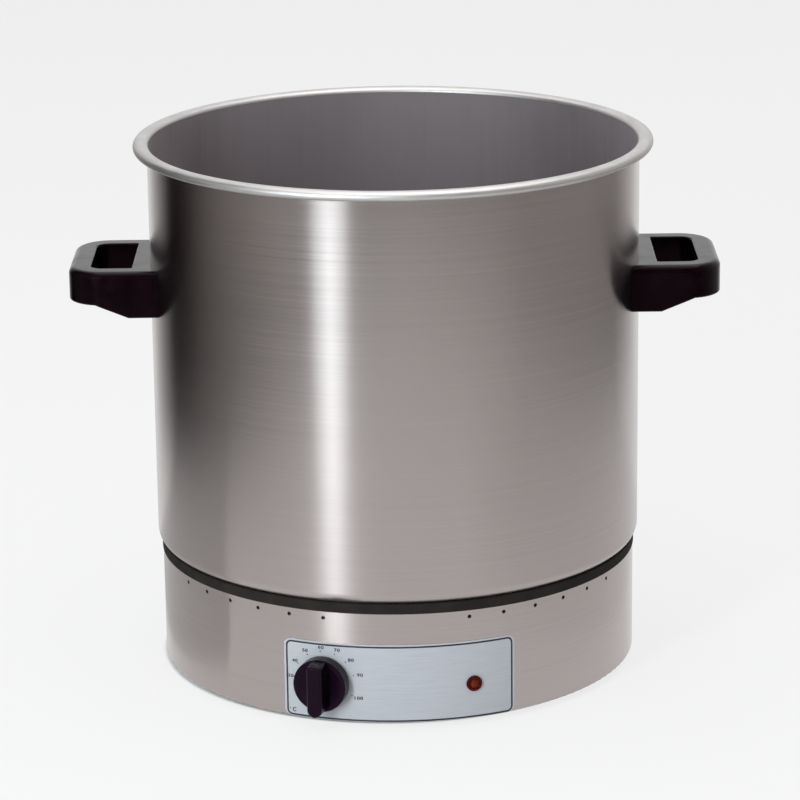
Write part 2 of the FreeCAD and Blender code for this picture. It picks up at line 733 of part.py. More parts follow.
def make_boss(side, swung, middle, spread):
    """Bracket rolled to the pot's wall and welded to it, with two tapped holes."""
    name = side + "_handle_bracket"
    shell = cut(
        name + "_shell",
        drum(name + "_outside", "boss_radius", "boss_height", z="boss_low"),
        [drum(name + "_inside", "pot_radius", "boss_height", z="boss_low")],
    )
    window = slab(
        name + "_window",
        "2 * boss_radius",
        "2 * boss_half_width",
        "boss_height",
        x="boss_radius",
        z="boss_low",
    )
    piece = doc.addObject("Part::Common", name + "_piece")
    piece.Base, piece.Tool = shell, window
    holes = screw_tools(
        name + "_hole",
        "handle_screw_radius + close_gap",
        "pot_radius - handle_inner_bar",
        "2 * handle_inner_bar",
        spread,
        middle,
    )
    node(cut(name, piece, holes, **swung))


def make_handle_screws(side, swung, middle, spread):
    """Two screws whose heads lie in the handle's recesses and whose ends reach the bracket."""
    name = side + "_handle_screw"
    reach = f"sqrt(pot_radius^2 - ({spread} - handle_screw_radius)^2) + close_gap"
    shanks = screw_tools(
        name + "_shank", "handle_screw_radius", reach, f"screw_seat - ({reach})", spread, middle
    )
    heads = screw_tools(
        name + "_head",
        "handle_screw_head_radius",
        "screw_seat",
        "handle_screw_head_height",
        spread,
        middle,
    )
    return [
        joined(f"{name}_{number}", [shank, head], **swung)
        for number, (shank, head) in enumerate(zip(shanks, heads), start=1)
    ]


def make_handles():
    screws = make_handle("right", "0") + make_handle("left", "180")
    node(group("handle_screws", screws))


# ---------------------------------------------------------------- base
def make_insulating_ring():
    """Plastic ring between the pot and the skirt, with a shelf that the pot's bend sits in."""
    body = turned(
        "insulating_ring",
        [
            ("skirt_radius - ring_width", "skirt_top"),
            ("tongue_radius - ring_tongue_width", "skirt_top"),
            ("tongue_radius - ring_tongue_width", "skirt_top - ring_tongue_depth"),
            ("tongue_radius", "skirt_top - ring_tongue_depth"),
            ("tongue_radius", "skirt_top"),
            ("ring_radius", "skirt_top"),
            ("ring_radius", "ring_top - ring_bevel"),
            ("ring_radius - ring_bevel", "ring_top"),
            ("skirt_radius - ring_width", "ring_top"),
        ],
    )
    add_feature(
        body,
        "PartDesign::Groove",
        "insulating_ring_seat",
        "XZ_Plane",
        [
            ("0", "pot_bottom"),
            ("pot_radius - pot_corner_radius", "pot_bottom"),
            (
                "pot_radius + fit_gap",
                "pot_bottom + pot_corner_radius + fit_gap",
                "pot_corner_radius + fit_gap",
                LEFT,
            ),
            ("pot_radius + fit_gap", "pot_bottom + pot_height"),
            ("0", "pot_bottom + pot_height"),
        ],
    )
    node(body)


def make_skirt():
    """Sheet steel skirt with an inward hem, vent holes and the holes for what it carries."""
    bend, wall = "skirt_bend_radius", "skirt_wall"
    sheet_body = turned(
        "skirt_sheet",
        [
            ("skirt_radius - hem_width", "skirt_bottom"),
            (f"skirt_radius - {bend}", "skirt_bottom"),
            ("skirt_radius", f"skirt_bottom + {bend}", bend, LEFT),
            ("skirt_radius", "skirt_top"),
            ("skirt_inside", "skirt_top"),
            ("skirt_inside", f"skirt_bottom + {bend}"),
            (f"skirt_radius - {bend}", f"skirt_bottom + {wall}", f"{bend} - {wall}", RIGHT),
            ("skirt_radius - hem_width", f"skirt_bottom + {wall}"),
        ],
    )
    start, length = "skirt_inside - drill_reach", "skirt_wall + 2 * drill_reach"
    tools = []
    for facing in (0, 180):
        for side in (-1, 1):
            for step in VENT_STEPS:
                name = f"vent_{facing}_{'left' if side < 0 else 'right'}_{step}"
                turn = f"{facing} + vent_turn + {side * step} * vent_step_angle"
                height = "skirt_top - vent_drop"
                tools.append(radial(name, "vent_radius", start, length, height, around=turn))
    for name, radius, height, turn in (
        ("skirt_dial_hole", "bush_hole_radius", "dial_z", "dial_angle"),
        ("skirt_lamp_hole", "lamp_hole_radius", "lamp_z", "lamp_angle"),
        ("skirt_gland_hole", "gland_thread_radius + close_gap", "gland_z", "180"),
    ):
        tools.append(radial(name, radius, start, length, height, around=turn))
    node(cut("skirt", sheet_body, tools))


def make_base_plate():
    """Steel plate that closes the base, with a raised centre over the lowest nut."""
    low, high, slope = "foot_height", "skirt_bottom", "dimple_radius + dimple_slope"
    sheet_body = turned(
        "base_plate_sheet",
        [
            ("0", "dimple_under"),
            ("dimple_radius", "dimple_under"),
            (slope, low),
            ("plate_radius", low),
            ("plate_radius", high),
            (slope, high),
            ("dimple_radius", "dimple_under + plate_thickness"),
            ("0", "dimple_under + plate_thickness"),
        ],
    )
    tools = [drum("plate_stud_hole", "stud_hole_radius", "pot_bottom")]
    for angle in FOOT_ANGLES:
        tools.append(
            radial_drum(f"plate_foot_hole_{angle}", "foot_neck_radius + close_gap", "skirt_top", angle)
        )
    tools.append(drum("plate_earth_hole", "earth_radius + close_gap", "skirt_top", **earth_spot()))
    tools += [
        drum(f"plate_block_hole_{side}", "small_hole_radius", "skirt_top", x=x, y="block_back")
        for side, x in block_screw_spots()
    ]
    node(cut("base_plate", sheet_body, tools))


def radial_drum(name, radius, height, angle):
    """Upright cylinder on the circle of the feet."""
    return drum(name, radius, height, x="foot_circle_radius", around=str(angle))


def make_feet():
    """Push-in rubber feet: a pad, a neck through the base plate and a head above it."""
    feet = []
    for angle in FOOT_ANGLES:
        foot = turned(
            f"foot_{angle}",
            [
                ("0", "0"),
                ("foot_radius - foot_chamfer", "0"),
                ("foot_radius", "foot_chamfer"),
                ("foot_radius", "foot_height"),
                ("foot_neck_radius", "foot_height"),
                ("foot_neck_radius", "skirt_bottom"),
                ("foot_head_radius", "skirt_bottom"),
                ("foot_neck_radius", "skirt_bottom + foot_head_height"),
                ("0", "skirt_bottom + foot_head_height"),
            ],
        )
        feet.append(place(foot, x="foot_circle_radius", around=str(angle)))
    node(group("rubber_feet", feet))


def make_centre_stud():
    """Stud welded under the pot that pulls the whole base together, its nuts and its washer."""
    node(drum("centre_stud", "stud_radius", "pot_bottom - stud_table_gap", z="stud_table_gap"))
    hole = "stud_radius + close_gap"
    spots = (
        ("clamp_nut", "shield_top"),
        ("shield_nut", "shield_bottom - nut_height"),
        ("base_nut", "base_nut_bottom"),
    )
    nuts = [nut(name, "nut_flats", hole, "nut_height", z=height) for name, height in spots]
    node(group("stud_nuts", nuts))
    node(collar("base_washer", "washer_radius", hole, "washer_thickness", z="base_nut_top"))


# ---------------------------------------------------------------- heating
def make_spreader():
    """Aluminium disc pressed against the pot's floor."""
    tools = [drum("spreader_hole", "spreader_hole_radius", "pot_bottom")]
    tools += [
        drum(f"spreader_screw_hole_{side}", "small_hole_radius", "pot_bottom", x=x, y="cutout_back")
        for side, x in cutout_screw_spots()
    ]
    disc = drum("spreader_disc", "spreader_radius", "spreader_thickness", z="spreader_bottom")
    node(cut("heat_spreader", disc, tools))


def element_end_spot(side):
    """Upright end of the heating element on one side of the gap at the back."""
    bend = value("element_bend_radius")
    radius = value("element_circle_radius")
    gap = math.radians(value("element_gap_angle"))
    along = Vector(math.cos(gap), -math.sin(gap), 0)
    start = Vector(radius * math.sin(gap), radius * math.cos(gap), 0)
    spot = start - along * bend
    return Vector(side * spot.x, spot.y, 0)


def element_end_rules(side):
    """The same place as a pair of rules."""
    x = (
        f"{side} * (element_circle_radius * sin(element_gap_angle)"
        " - element_bend_radius * cos(element_gap_angle))"
    )
    y = (
        "element_circle_radius * cos(element_gap_angle)"
        " + element_bend_radius * sin(element_gap_angle)"
    )
    return x, y


def make_heating_element():
    """Tubular element: nearly a full ring under the spreader, with both ends turned down."""
    radius, height = value("element_circle_radius"), value("element_z")
    bend, end = value("element_bend_radius"), value("element_end")
    gap = math.radians(value("element_gap_angle"))
    slant = math.sqrt(0.5)
    tails = []
    for side in (1, -1):
        foot = element_end_spot(side)
        ring_start = Vector(side * radius * math.sin(gap), radius * math.cos(gap), height)
        inward = Vector(ring_start.x, ring_start.y, 0) - foot
        inward.normalize()
        low = Vector(foot.x, foot.y, end)
        high = Vector(foot.x, foot.y, height - bend)
        middle = high + inward * (bend * (1 - slant)) + Vector(0, 0, bend * slant)
        tails.append((low, high, middle, ring_start))
    first, last = tails
    edges = [
        Part.LineSegment(first[0], first[1]).toShape(),
        Part.Arc(first[1], first[2], first[3]).toShape(),
        Part.Arc(first[3], Vector(0, -radius, height), last[3]).toShape(),
        Part.Arc(last[3], last[2], last[1]).toShape(),
        Part.LineSegment(last[1], last[0]).toShape(),
    ]
    node(tube("heating_element", edges, value("element_tube_radius")))


def make_element_ends():
    """Ceramic beads and threaded pins at the element's cold ends."""
    beads, pins = [], []
    for side, sign in (("right", "1"), ("left", "-1")):
        x, y = element_end_rules(sign)
        beads.append(
            collar(
                f"{side}_bead",
                "element_tube_radius",
                "pin_radius + close_gap",
                "bead_length",
                x=x,
                y=y,
                z="element_end - bead_length",
            )
        )
        pins.append(
            drum(f"{side}_pin", "pin_radius", "pin_length", x=x, y=y, z="element_end - pin_length")
        )
    node(group("ceramic_beads", beads))
    node(group("element_pins", pins))


def make_element_clamp():
    """Bar across the base that the stud's upper nut presses against the element."""
    bar = slab(
        "clamp_bar",
        "2 * (element_circle_radius + clamp_overhang)",
        "clamp_width",
        "clamp_thickness",
        z="clamp_bottom",
    )
    node(cut("element_clamp", bar, [drum("clamp_hole", "stud_hole_radius", "pot_bottom")]))


def make_heat_shield():
    """Dished disc that keeps the heat off the wiring."""
    sheet_body = turned(
        "shield_sheet",
        [
            ("stud_hole_radius", "shield_bottom"),
            ("shield_radius", "shield_bottom"),
            ("shield_radius", "shield_top + shield_rim_height"),
            ("shield_radius - shield_thickness", "shield_top + shield_rim_height"),
            ("shield_radius - shield_thickness", "shield_top"),
            ("stud_hole_radius", "shield_top"),
        ],
    )
    tools = []
    for side, sign in (("right", "1"), ("left", "-1")):
        x, y = element_end_rules(sign)
        radius = "element_tube_radius + shield_end_gap"
        tools.append(drum(f"shield_{side}_hole", radius, "pot_bottom", x=x, y=y))
    tools.append(drum("shield_cutout_hole", "shield_cutout_radius", "pot_bottom", y="cutout_back"))
    entry = capillary_route()[3]
    tools.append(drum("shield_tube_hole", "shield_tube_radius", "pot_bottom", x=entry.x, y=entry.y))
    node(cut("heat_shield", sheet_body, tools))


def cutout_screw_spots():
    """Screws in the ears of the thermal cutout's plate."""
    reach = "(cutout_ear_length / 2 + cutout_radius) / 2"
    return (("right", reach), ("left", f"-{reach}"))


def make_thermal_cutout():
    """Overheat switch screwed to the spreader by its plate, with two spade tabs."""
    node(drum("thermal_cutout", "cutout_radius", "cutout_height", y="cutout_back", z="cutout_under"))
    plate_z = "spreader_bottom - ear_thickness"
    plate = slab(
        "ear_plate", "cutout_ear_length", "cutout_ear_width", "ear_thickness", y="cutout_back", z=plate_z
    )
    holes = [drum("ear_body_hole", "cutout_radius + close_gap", "pot_bottom", y="cutout_back")]
    screws, tabs = [], []
    for side, x in cutout_screw_spots():
        holes.append(drum(f"ear_{side}_hole", "small_hole_radius", "pot_bottom", x=x, y="cutout_back"))
        shank = drum(
            f"ear_{side}_shank",
            "small_screw_radius",
            "ear_thickness + spreader_thickness - 2 * fit_gap",
            x=x,
            y="cutout_back",
            z=plate_z,
        )
        head = drum(
            f"ear_{side}_head",
            "small_head_radius",
            "small_head_height",
            x=x,
            y="cutout_back",
            z=f"{plate_z} - small_head_height",
        )
        screws.append(joined(f"cutout_screw_{side}", [shank, head]))
        tabs.append(
            slab(
                f"cutout_tab_{side}",
                "tab_thickness",
                "tab_width",
                "tab_length",
                x="cutout_radius / 2" if side == "right" else "-cutout_radius / 2",
                y="cutout_back",
                z="cutout_under - tab_length",
            )
        )
    node(cut("cutout_plate", plate, holes))
    node(group("cutout_screws", screws))
    node(group("cutout_tabs", tabs))


def make_bulb():
    """Temperature bulb against the spreader, and the strap that holds it."""
    along = dict(y="-bulb_front", z="bulb_z", tip="rotationy(90)")
    node(drum("thermostat_bulb", "bulb_radius", "bulb_length", x="-bulb_length / 2", **along))
    inside = "bulb_radius + close_gap"
    outside = f"{inside} + clip_wall"
    hoop = drum("clip_hoop", outside, "clip_length", x="-clip_length / 2", **along)
    height = "spreader_bottom - bulb_z"
    cheeks = slab(
        "clip_cheeks", "clip_length", f"2 * ({outside})", height, y="-bulb_front", z="bulb_z"
    )
    feet = slab(
        "clip_feet",
        "clip_length",
        f"2 * ({outside} + clip_foot)",
        "clip_wall",
        y="-bulb_front",
        z="spreader_bottom - clip_wall",
    )
    above = slab(
        "clip_above",
        "2 * clip_length",
        f"4 * ({outside} + clip_foot)",
        "pot_wall + bulb_radius",
        y="-bulb_front",
        z="spreader_bottom",
    )
    hollow = drum("clip_hollow", inside, "2 * clip_length", x="-clip_length", **along)
    throat = slab(
        "clip_throat", "2 * clip_length", f"2 * ({inside})", height, y="-bulb_front", z="bulb_z"
    )
    node(cut("bulb_clip", joined("clip_blank", [hoop, cheeks, feet]), [above, hollow, throat]))


def capillary_route():
    """From the end of the bulb down through the heat shield and into the top of the thermostat."""
    height = value("bulb_z")
    bulb_end = Vector(-value("bulb_length") / 2, -value("bulb_front"), height)
    entry = swing("dial_angle", "0", "thermostat_back + thermostat_depth / 2", "dial_z")
    top = value("dial_z + thermostat_height / 2")
    shield = value("shield_bottom")
    through = Vector(bulb_end.x, bulb_end.y, shield) + step(-25, -14, 0)
    return [
        bulb_end,
        bulb_end + step(-14, 0, 0),
        through + step(1, 8, 10),
        through,
        through + step(1, -20, -9),
        Vector(entry.x, entry.y, shield) + step(-2, 24, -8),
        Vector(entry.x, entry.y, top) + step(0, 0, 9),
        Vector(entry.x, entry.y, top),
    ]


def make_capillary():
    node(tube("capillary_tube", rounded_path(capillary_route()), value("capillary_radius")))


# ---------------------------------------------------------------- dial and thermostat
def make_thermostat():
    """Thermostat on a flat bracket behind the skirt, with its bush, nut, screws and tabs."""
    turn = "dial_angle"
    middle = "-(thermostat_front + thermostat_back) / 2"
    blank = slab(
        "thermostat_blank",
        "thermostat_width",
        "thermostat_depth",
        "thermostat_height",
        y=middle,
        z="dial_z - thermostat_height / 2",
    )
    seat = "thermostat_front - bush_seat"
    spindle_end = "thermostat_front - spindle_inside"
    bores = [
        radial("bush_socket", "bush_radius + close_gap", seat, "2 * bush_seat", "dial_z"),
        radial("spindle_room", "spindle_radius + fit_gap", spindle_end, "spindle_inside", "dial_z"),
    ]
    holes = [radial("bracket_bush_hole", "bush_hole_radius", seat, "thermostat_depth", "dial_z")]
    screws = []
    for side, rise in (("upper", "thermostat_screw_rise"), ("lower", "-thermostat_screw_rise")):
        height = f"dial_z + {rise}"
        start, depth = "thermostat_front - 3 * small_screw_radius", "3 * small_screw_radius"
        shank = radial(f"{side}_shank", "small_screw_radius", start, depth, height)
        head = doc.addObject("Part::Cone", f"{side}_head")
        bind(head, Radius1="small_screw_radius", Radius2="small_head_radius", Height="bracket_thickness")
        place(head, y="-thermostat_front", z=height, tip=OUTWARD)
        sink = doc.addObject("Part::Cone", f"{side}_sink")
        bind(
            sink,
            Radius1="small_hole_radius",
            Radius2="small_head_radius + close_gap",
            Height="bracket_thickness",
        )
        place(sink, y="-thermostat_front", z=height, tip=OUTWARD)
        holes.append(sink)
        bore_start = f"{start} - fit_gap"
        bores.append(
            radial(f"{side}_bore", "small_hole_radius", bore_start, "thermostat_depth", height)
        )
        screws.append(joined(f"thermostat_screw_{side}", [shank, head], around=turn))
    node(cut("thermostat_body", blank, bores, around=turn))
    plate = slab(
        "bracket_plate",
        "bracket_width",
        "bracket_thickness",
        "bracket_height",
        y="-(bracket_front + thermostat_front) / 2",
        z="dial_z - bracket_height / 2",
    )
    node(cut("thermostat_bracket", plate, holes, around=turn))
    node(group("thermostat_screws", screws))
    bush_length = f"label_radius + bush_stand - ({seat})"
    bush = radial("bush_blank", "bush_radius", seat, bush_length, "dial_z")
    bore = radial("bush_bore", "spindle_radius + close_gap", seat, bush_length, "dial_z")
    node(cut("thermostat_bush", bush, [bore], around=turn))
    node(
        nut(
            "bush_nut",
            "bush_nut_flats",
            "bush_radius + close_gap",
            "bush_nut_height",
            y="-label_radius",
            z="dial_z",
            tip=OUTWARD,
            around=turn,
        )
    )
    tabs = [
        slab(
            f"thermostat_tab_{number}",
            "tab_width",
            "tab_length",
            "tab_thickness",
            y="-(thermostat_back - tab_length / 2)",
            z=f"dial_z + {number} * tab_pitch - tab_thickness / 2",
            around=turn,
        )
        for number in range(-1, 2)
    ]
    node(group("thermostat_tabs", tabs))


def make_spindle():
    """Spindle of the dial, with a flat that drives the knob."""
    start = "thermostat_front - spindle_inside + fit_gap"
    end = "label_radius + spindle_stand"
    shaft = radial("spindle_shaft", "spindle_radius", start, f"{end} - ({start})", "dial_z")
    node(cut("dial_spindle", shaft, [spindle_flat("spindle_flat", "0")], around="dial_angle"))


def spindle_flat(name, gap):
    """Box that takes the flat off the spindle, or keeps the knob's bore clear of it."""
    length = "spindle_stand"
    return slab(
        name,
        "2 * spindle_radius",
        length,
        "spindle_radius",
        y=f"-(label_radius + spindle_flat_start + {length} / 2)",
        z=f"dial_z + spindle_radius - spindle_flat_depth + {gap}",
    )


def make_knob():
    """Knob: a dished disc with a deep grip whose nose points at the scale."""
    hub_start = "bush_stand + knob_hub_gap"
    disc = turned(
        "knob_disc",
        [
            ("0", hub_start),
            ("knob_hub_radius", hub_start),
            ("knob_hub_radius", "knob_cavity_top"),
            ("knob_cavity_radius", "knob_cavity_top"),
            ("knob_cavity_radius", "knob_gap"),
            ("knob_radius", "knob_gap"),
            ("knob_radius", "knob_disc_top"),
            ("knob_cavity_radius", "knob_disc_top"),
            ("knob_cavity_radius / 2", "knob_disc_top - knob_dish"),
            ("0", "knob_disc_top - knob_dish"),
        ],
    )
    low = "knob_cavity_top"
    grip = padded(
        "knob_grip",
        "YZ_Plane",
        [
            ("-knob_cavity_radius", low),
            ("-knob_cavity_radius", "grip_nose_low"),
            ("-grip_nose + grip_bevel", "grip_nose_low"),
            ("-grip_nose", "grip_nose_low + grip_bevel"),
            ("-grip_nose", "grip_top"),
            ("grip_tail", "grip_top"),
            ("knob_radius - grip_bevel", "knob_disc_top"),
            ("knob_radius - grip_bevel", low),
        ],
        "grip_width",
        midplane=True,
    )
    half, bend = "(grip_width / 2)", "-grip_nose + grip_width / 2"
    add_feature(
        grip,
        "PartDesign::Pocket",
        "knob_grip_nose",
        "XY_Plane",
        [
            (f"-{half}", bend),
            ("0", "-grip_nose", half, LEFT),
            (half, bend, half, LEFT),
            ("grip_width", bend),
            ("grip_width", "-grip_nose - grip_width"),
            ("-grip_width", "-grip_nose - grip_width"),
            ("-grip_width", bend),
        ],
        Length="3 * grip_top",
    )
    disc_edge = value("knob_disc_top")
    rounded(grip, "knob_grip_rounding", "grip_round", lambda edge: edge.BoundBox.ZMax > disc_edge + 1)
    blank = joined("knob_blank", [disc, grip], y="-label_radius", z="dial_z", tip=OUTWARD)
    bore = radial(
        "knob_bore_round",
        "spindle_radius + close_gap",
        "label_radius + knob_gap",
        "spindle_stand - knob_gap + fit_gap",
        "dial_z",
    )
    keyed = cut("knob_bore", bore, [spindle_flat("knob_bore_flat", "close_gap")])
    node(cut("knob", blank, [keyed], around="dial_angle"))


def make_knob_spring():
    """Steel ring that grips the knob's hub."""
    inside = "knob_hub_radius + close_gap"
    ring = collar(
        "knob_spring_ring", f"{inside} + knob_spring_wall", inside, "knob_spring_height"
    )
    gap = slab(
        "knob_spring_gap",
        "knob_hub_radius / 2",
        "knob_hub_radius",
        "knob_spring_height",
        y="knob_hub_radius",
    )
    node(
        cut(
            "knob_spring",
            ring,
            [gap],
            y="-(label_radius + knob_cavity_top - knob_spring_height)",
            z="dial_z",
            tip=OUTWARD,
            around="dial_angle",
        )
    )


def make_label():
    """Thin label bent round the skirt, behind the dial and the lamp."""
    half = "skirt_radius * sin(label_half_angle)"
    low, high, curve = "skirt_bottom + label_low", "skirt_bottom + label_high", "label_corner_radius"
    corners = label_corners(half, low, high, curve)
    blank = padded("label_blank", "XZ_Plane", corners, "3 * pot_radius", midplane=True)
    sleeve = collar("label_sleeve", "label_radius", "label_inside", "skirt_top")
    behind = slab("label_behind", "3 * pot_radius", "2 * pot_radius", "pot_bottom", y="pot_radius")
    front = cut("label_front", sleeve, [behind])
    piece = doc.addObject("Part::Common", "label_piece")
    piece.Base, piece.Tool = front, blank
    start, length = "skirt_inside", "skirt_wall + drill_reach"
    holes = [
        radial("label_dial_hole", "bush_hole_radius", start, length, "dial_z", around="dial_angle"),
        radial("label_lamp_hole", "lamp_hole_radius", start, length, "lamp_z", around="lamp_angle"),
    ]
    node(cut("front_label", piece, holes))


def label_corners(half, low, high, curve):
    """Rectangle with rounded corners."""
    return [
        (f"{half} - {curve}", low),
        (half, f"{low} + {curve}", curve, LEFT),
        (half, f"{high} - {curve}"),
        (f"{half} - {curve}", high, curve, LEFT),
        (f"-({half}) + {curve}", high),
        (f"-({half})", f"{high} - {curve}", curve, LEFT),
        (f"-({half})", f"{low} + {curve}"),
        (f"-({half}) + {curve}", low, curve, LEFT),
    ]


def make_lamp():
    """Pilot lamp: lens, housing, neon bulb and the push nut behind the skirt."""
    spot = dict(y="-label_radius", z="lamp_z", tip=OUTWARD, around="lamp_angle")
    dome = "(lamp_flange_radius^2 + lamp_dome^2) / (2 * lamp_dome)"
    lens = turned(
        "lamp_lens",
        [
            ("lamp_hollow_radius", "-lamp_stem_length"),
            ("lamp_stem_radius", "-lamp_stem_length"),
            ("lamp_stem_radius", "0"),
            ("lamp_flange_radius", "0"),
            ("lamp_flange_radius", "lamp_flange_height"),
            ("0", "lamp_flange_height + lamp_dome", dome, LEFT),
            ("0", "lamp_flange_height"),
            ("lamp_hollow_radius", "lamp_flange_height / 2"),
        ],
    )
    node(place(lens, **spot))
    wall = "lamp_body_radius - lamp_stem_radius - close_gap"
    housing = turned(
        "lamp_housing",
        [
            ("0", "-lamp_body_length"),
            ("lamp_body_radius", "-lamp_body_length"),
            ("lamp_body_radius", "0"),
            (f"lamp_body_radius - ({wall})", "0"),
            (f"lamp_body_radius - ({wall})", "lamp_back_wall - lamp_body_length"),
            ("0", "lamp_back_wall - lamp_body_length"),
        ],
    )
    node(place(housing, **spot))
    floor = "lamp_back_wall - lamp_body_length"
    bulb = turned(
        "lamp_neon",
        [
            ("0", floor),
            ("neon_radius", floor),
            ("neon_radius", "-neon_radius"),
            ("neon_radius / 2", "-neon_radius / 4"),
            ("0", "0"),
        ],
    )
    node(place(bulb, **spot))
    node(
        collar(
            "lamp_push_nut",
            "push_nut_radius",
            "lamp_body_radius + close_gap",
            "push_nut_thickness",
            y="-(push_nut_front - push_nut_thickness)",
            z="lamp_z",
            tip=OUTWARD,
            around="lamp_angle",
        )
    )


# ---------------------------------------------------------------- wiring
def block_screw_spots():
    return (("right", "pole_pitch"), ("left", "-pole_pitch"))


def earth_spot():
    return dict(x="earth_side", y="block_back")


def make_terminal_block():
    """Ceramic block with four brass sleeves, their clamping screws and two fixing screws."""
    blank = slab(
        "block_blank",
        "(4 * pole_pitch)",
        "block_depth",
        "block_height",
        y="block_back",
        z="skirt_bottom",
    )
    back = "block_back + block_depth / 2"
    holes, sleeves, clamps, screws = [], [], [], []
    for number, pole in enumerate(POLES, start=1):
        along = dict(x=f"{pole} * pole_pitch", z="sleeve_z", tip=OUTWARD)
        holes.append(
            drum(f"pole_hole_{number}", "sleeve_radius + close_gap", "block_depth", y=back, **along)
        )
        sleeves.append(
            cut(
                f"sleeve_{number}",
                drum(f"sleeve_blank_{number}", "sleeve_radius", "block_depth", y=back, **along),
                [drum(f"sleeve_bore_{number}", "sleeve_bore_radius", "block_depth", y=back, **along)],
            )
        )
        upright = dict(x=f"{pole} * pole_pitch", y="block_back")
        seat = "sleeve_z + sleeve_radius"
        holes.append(
            drum(f"clamp_hole_{number}", "small_hole_radius", "block_height", z="sleeve_z", **upright)
        )
        length = f"block_top - fit_gap - ({seat})"
        clamps.append(
            drum(f"clamp_screw_{number}", "small_screw_radius", length, z=seat, **upright)
        )
    for side, x in block_screw_spots():
        upright = dict(x=x, y="block_back")
        holes.append(drum(f"block_hole_{side}", "small_hole_radius", "block_top", **upright))
        shank = drum(
            f"block_shank_{side}", "small_screw_radius", "block_top - foot_height", z="foot_height", **upright
        )
        head = drum(f"block_head_{side}", "small_head_radius", "small_head_height", z="block_top", **upright)
        screws.append(joined(f"block_screw_{side}", [shank, head]))
    node(cut("terminal_block", blank, holes))
    node(group("terminal_sleeves", sleeves))
    node(group("terminal_screws", clamps))
    node(group("block_screws", screws))


def make_earth_stud():
    """Earth stud in the base plate, with its ring tag and nut."""
    spot = earth_spot()
    node(drum("earth_stud", "earth_radius", "earth_length + plate_thickness", z="foot_height", **spot))
    hole = "earth_radius + close_gap"
    node(collar("earth_tag", "earth_tag_radius", hole, "tab_thickness", z="skirt_bottom", **spot))
    height = "skirt_bottom + tab_thickness"
    node(nut("earth_nut", "earth_nut_flats", hole, "earth_nut_height", z=height, **spot))


def make_gland():
    """Cable gland at the back: body, lock nut inside the skirt, rubber seal and cap."""
    outside = dict(y="-skirt_radius", z="gland_z", tip=OUTWARD, around="180")
    body = turned(
        "gland_body",
        [
            ("gland_bore_radius", "-gland_thread_inside"),
            ("gland_thread_radius", "-gland_thread_inside"),
            ("gland_thread_radius", "0"),
            ("gland_flange_radius", "0"),
            ("gland_flange_radius", "gland_flange_height"),
            ("gland_thread_radius", "gland_flange_height"),
            ("gland_thread_radius", "gland_mouth"),
            ("gland_seat_radius", "gland_mouth"),
            ("gland_seat_radius", "gland_seat_start"),
            ("gland_bore_radius", "gland_seat_start"),
        ],
    )
    node(place(body, **outside))
    seal_end = "gland_seat_start + seal_length"
    seal = turned(
        "gland_seal",
        [
            ("seal_bore_radius", "gland_seat_start"),
            ("gland_seat_radius - close_gap", "gland_seat_start"),
            ("gland_seat_radius - close_gap", seal_end),
            ("seal_bore_radius", seal_end),
        ],
    )
    node(place(seal, **outside))
    cap_end = f"{seal_end} + gland_cap_wall"
    cap = turned(
        "gland_cap",
        [
            ("gland_thread_radius + close_gap", "gland_flange_height + fit_gap"),
            ("gland_cap_radius", "gland_flange_height + fit_gap"),
            ("gland_cap_radius", f"{cap_end} - gland_cap_bevel"),
            ("gland_cap_radius - gland_cap_bevel", cap_end),
            ("gland_bore_radius", cap_end),
            ("gland_bore_radius", seal_end),
            ("gland_thread_radius + close_gap", seal_end),
        ],
    )
    node(place(cap, **outside))
    node(
        nut(
            "gland_nut",
            "gland_nut_flats",
            "gland_thread_radius + close_gap",
            "gland_nut_height",
            y="-(gland_nut_front - gland_nut_height)",
            z="gland_z",
            tip=OUTWARD,
            around="180",
        )
    )


def pole_spot(pole):
    """Point in a pole of the terminal block, inside its front face."""
    front = value("block_back - block_depth / 2 + wire_insert")
    return Vector(pole * value("pole_pitch"), front, value("sleeve_z"))


def tab_end(number):
    """Free end of one of the thermostat's tabs."""
    height = f"dial_z + {number} * tab_pitch"
    return swing("dial_angle", "0", "thermostat_back - tab_length - close_gap", height)


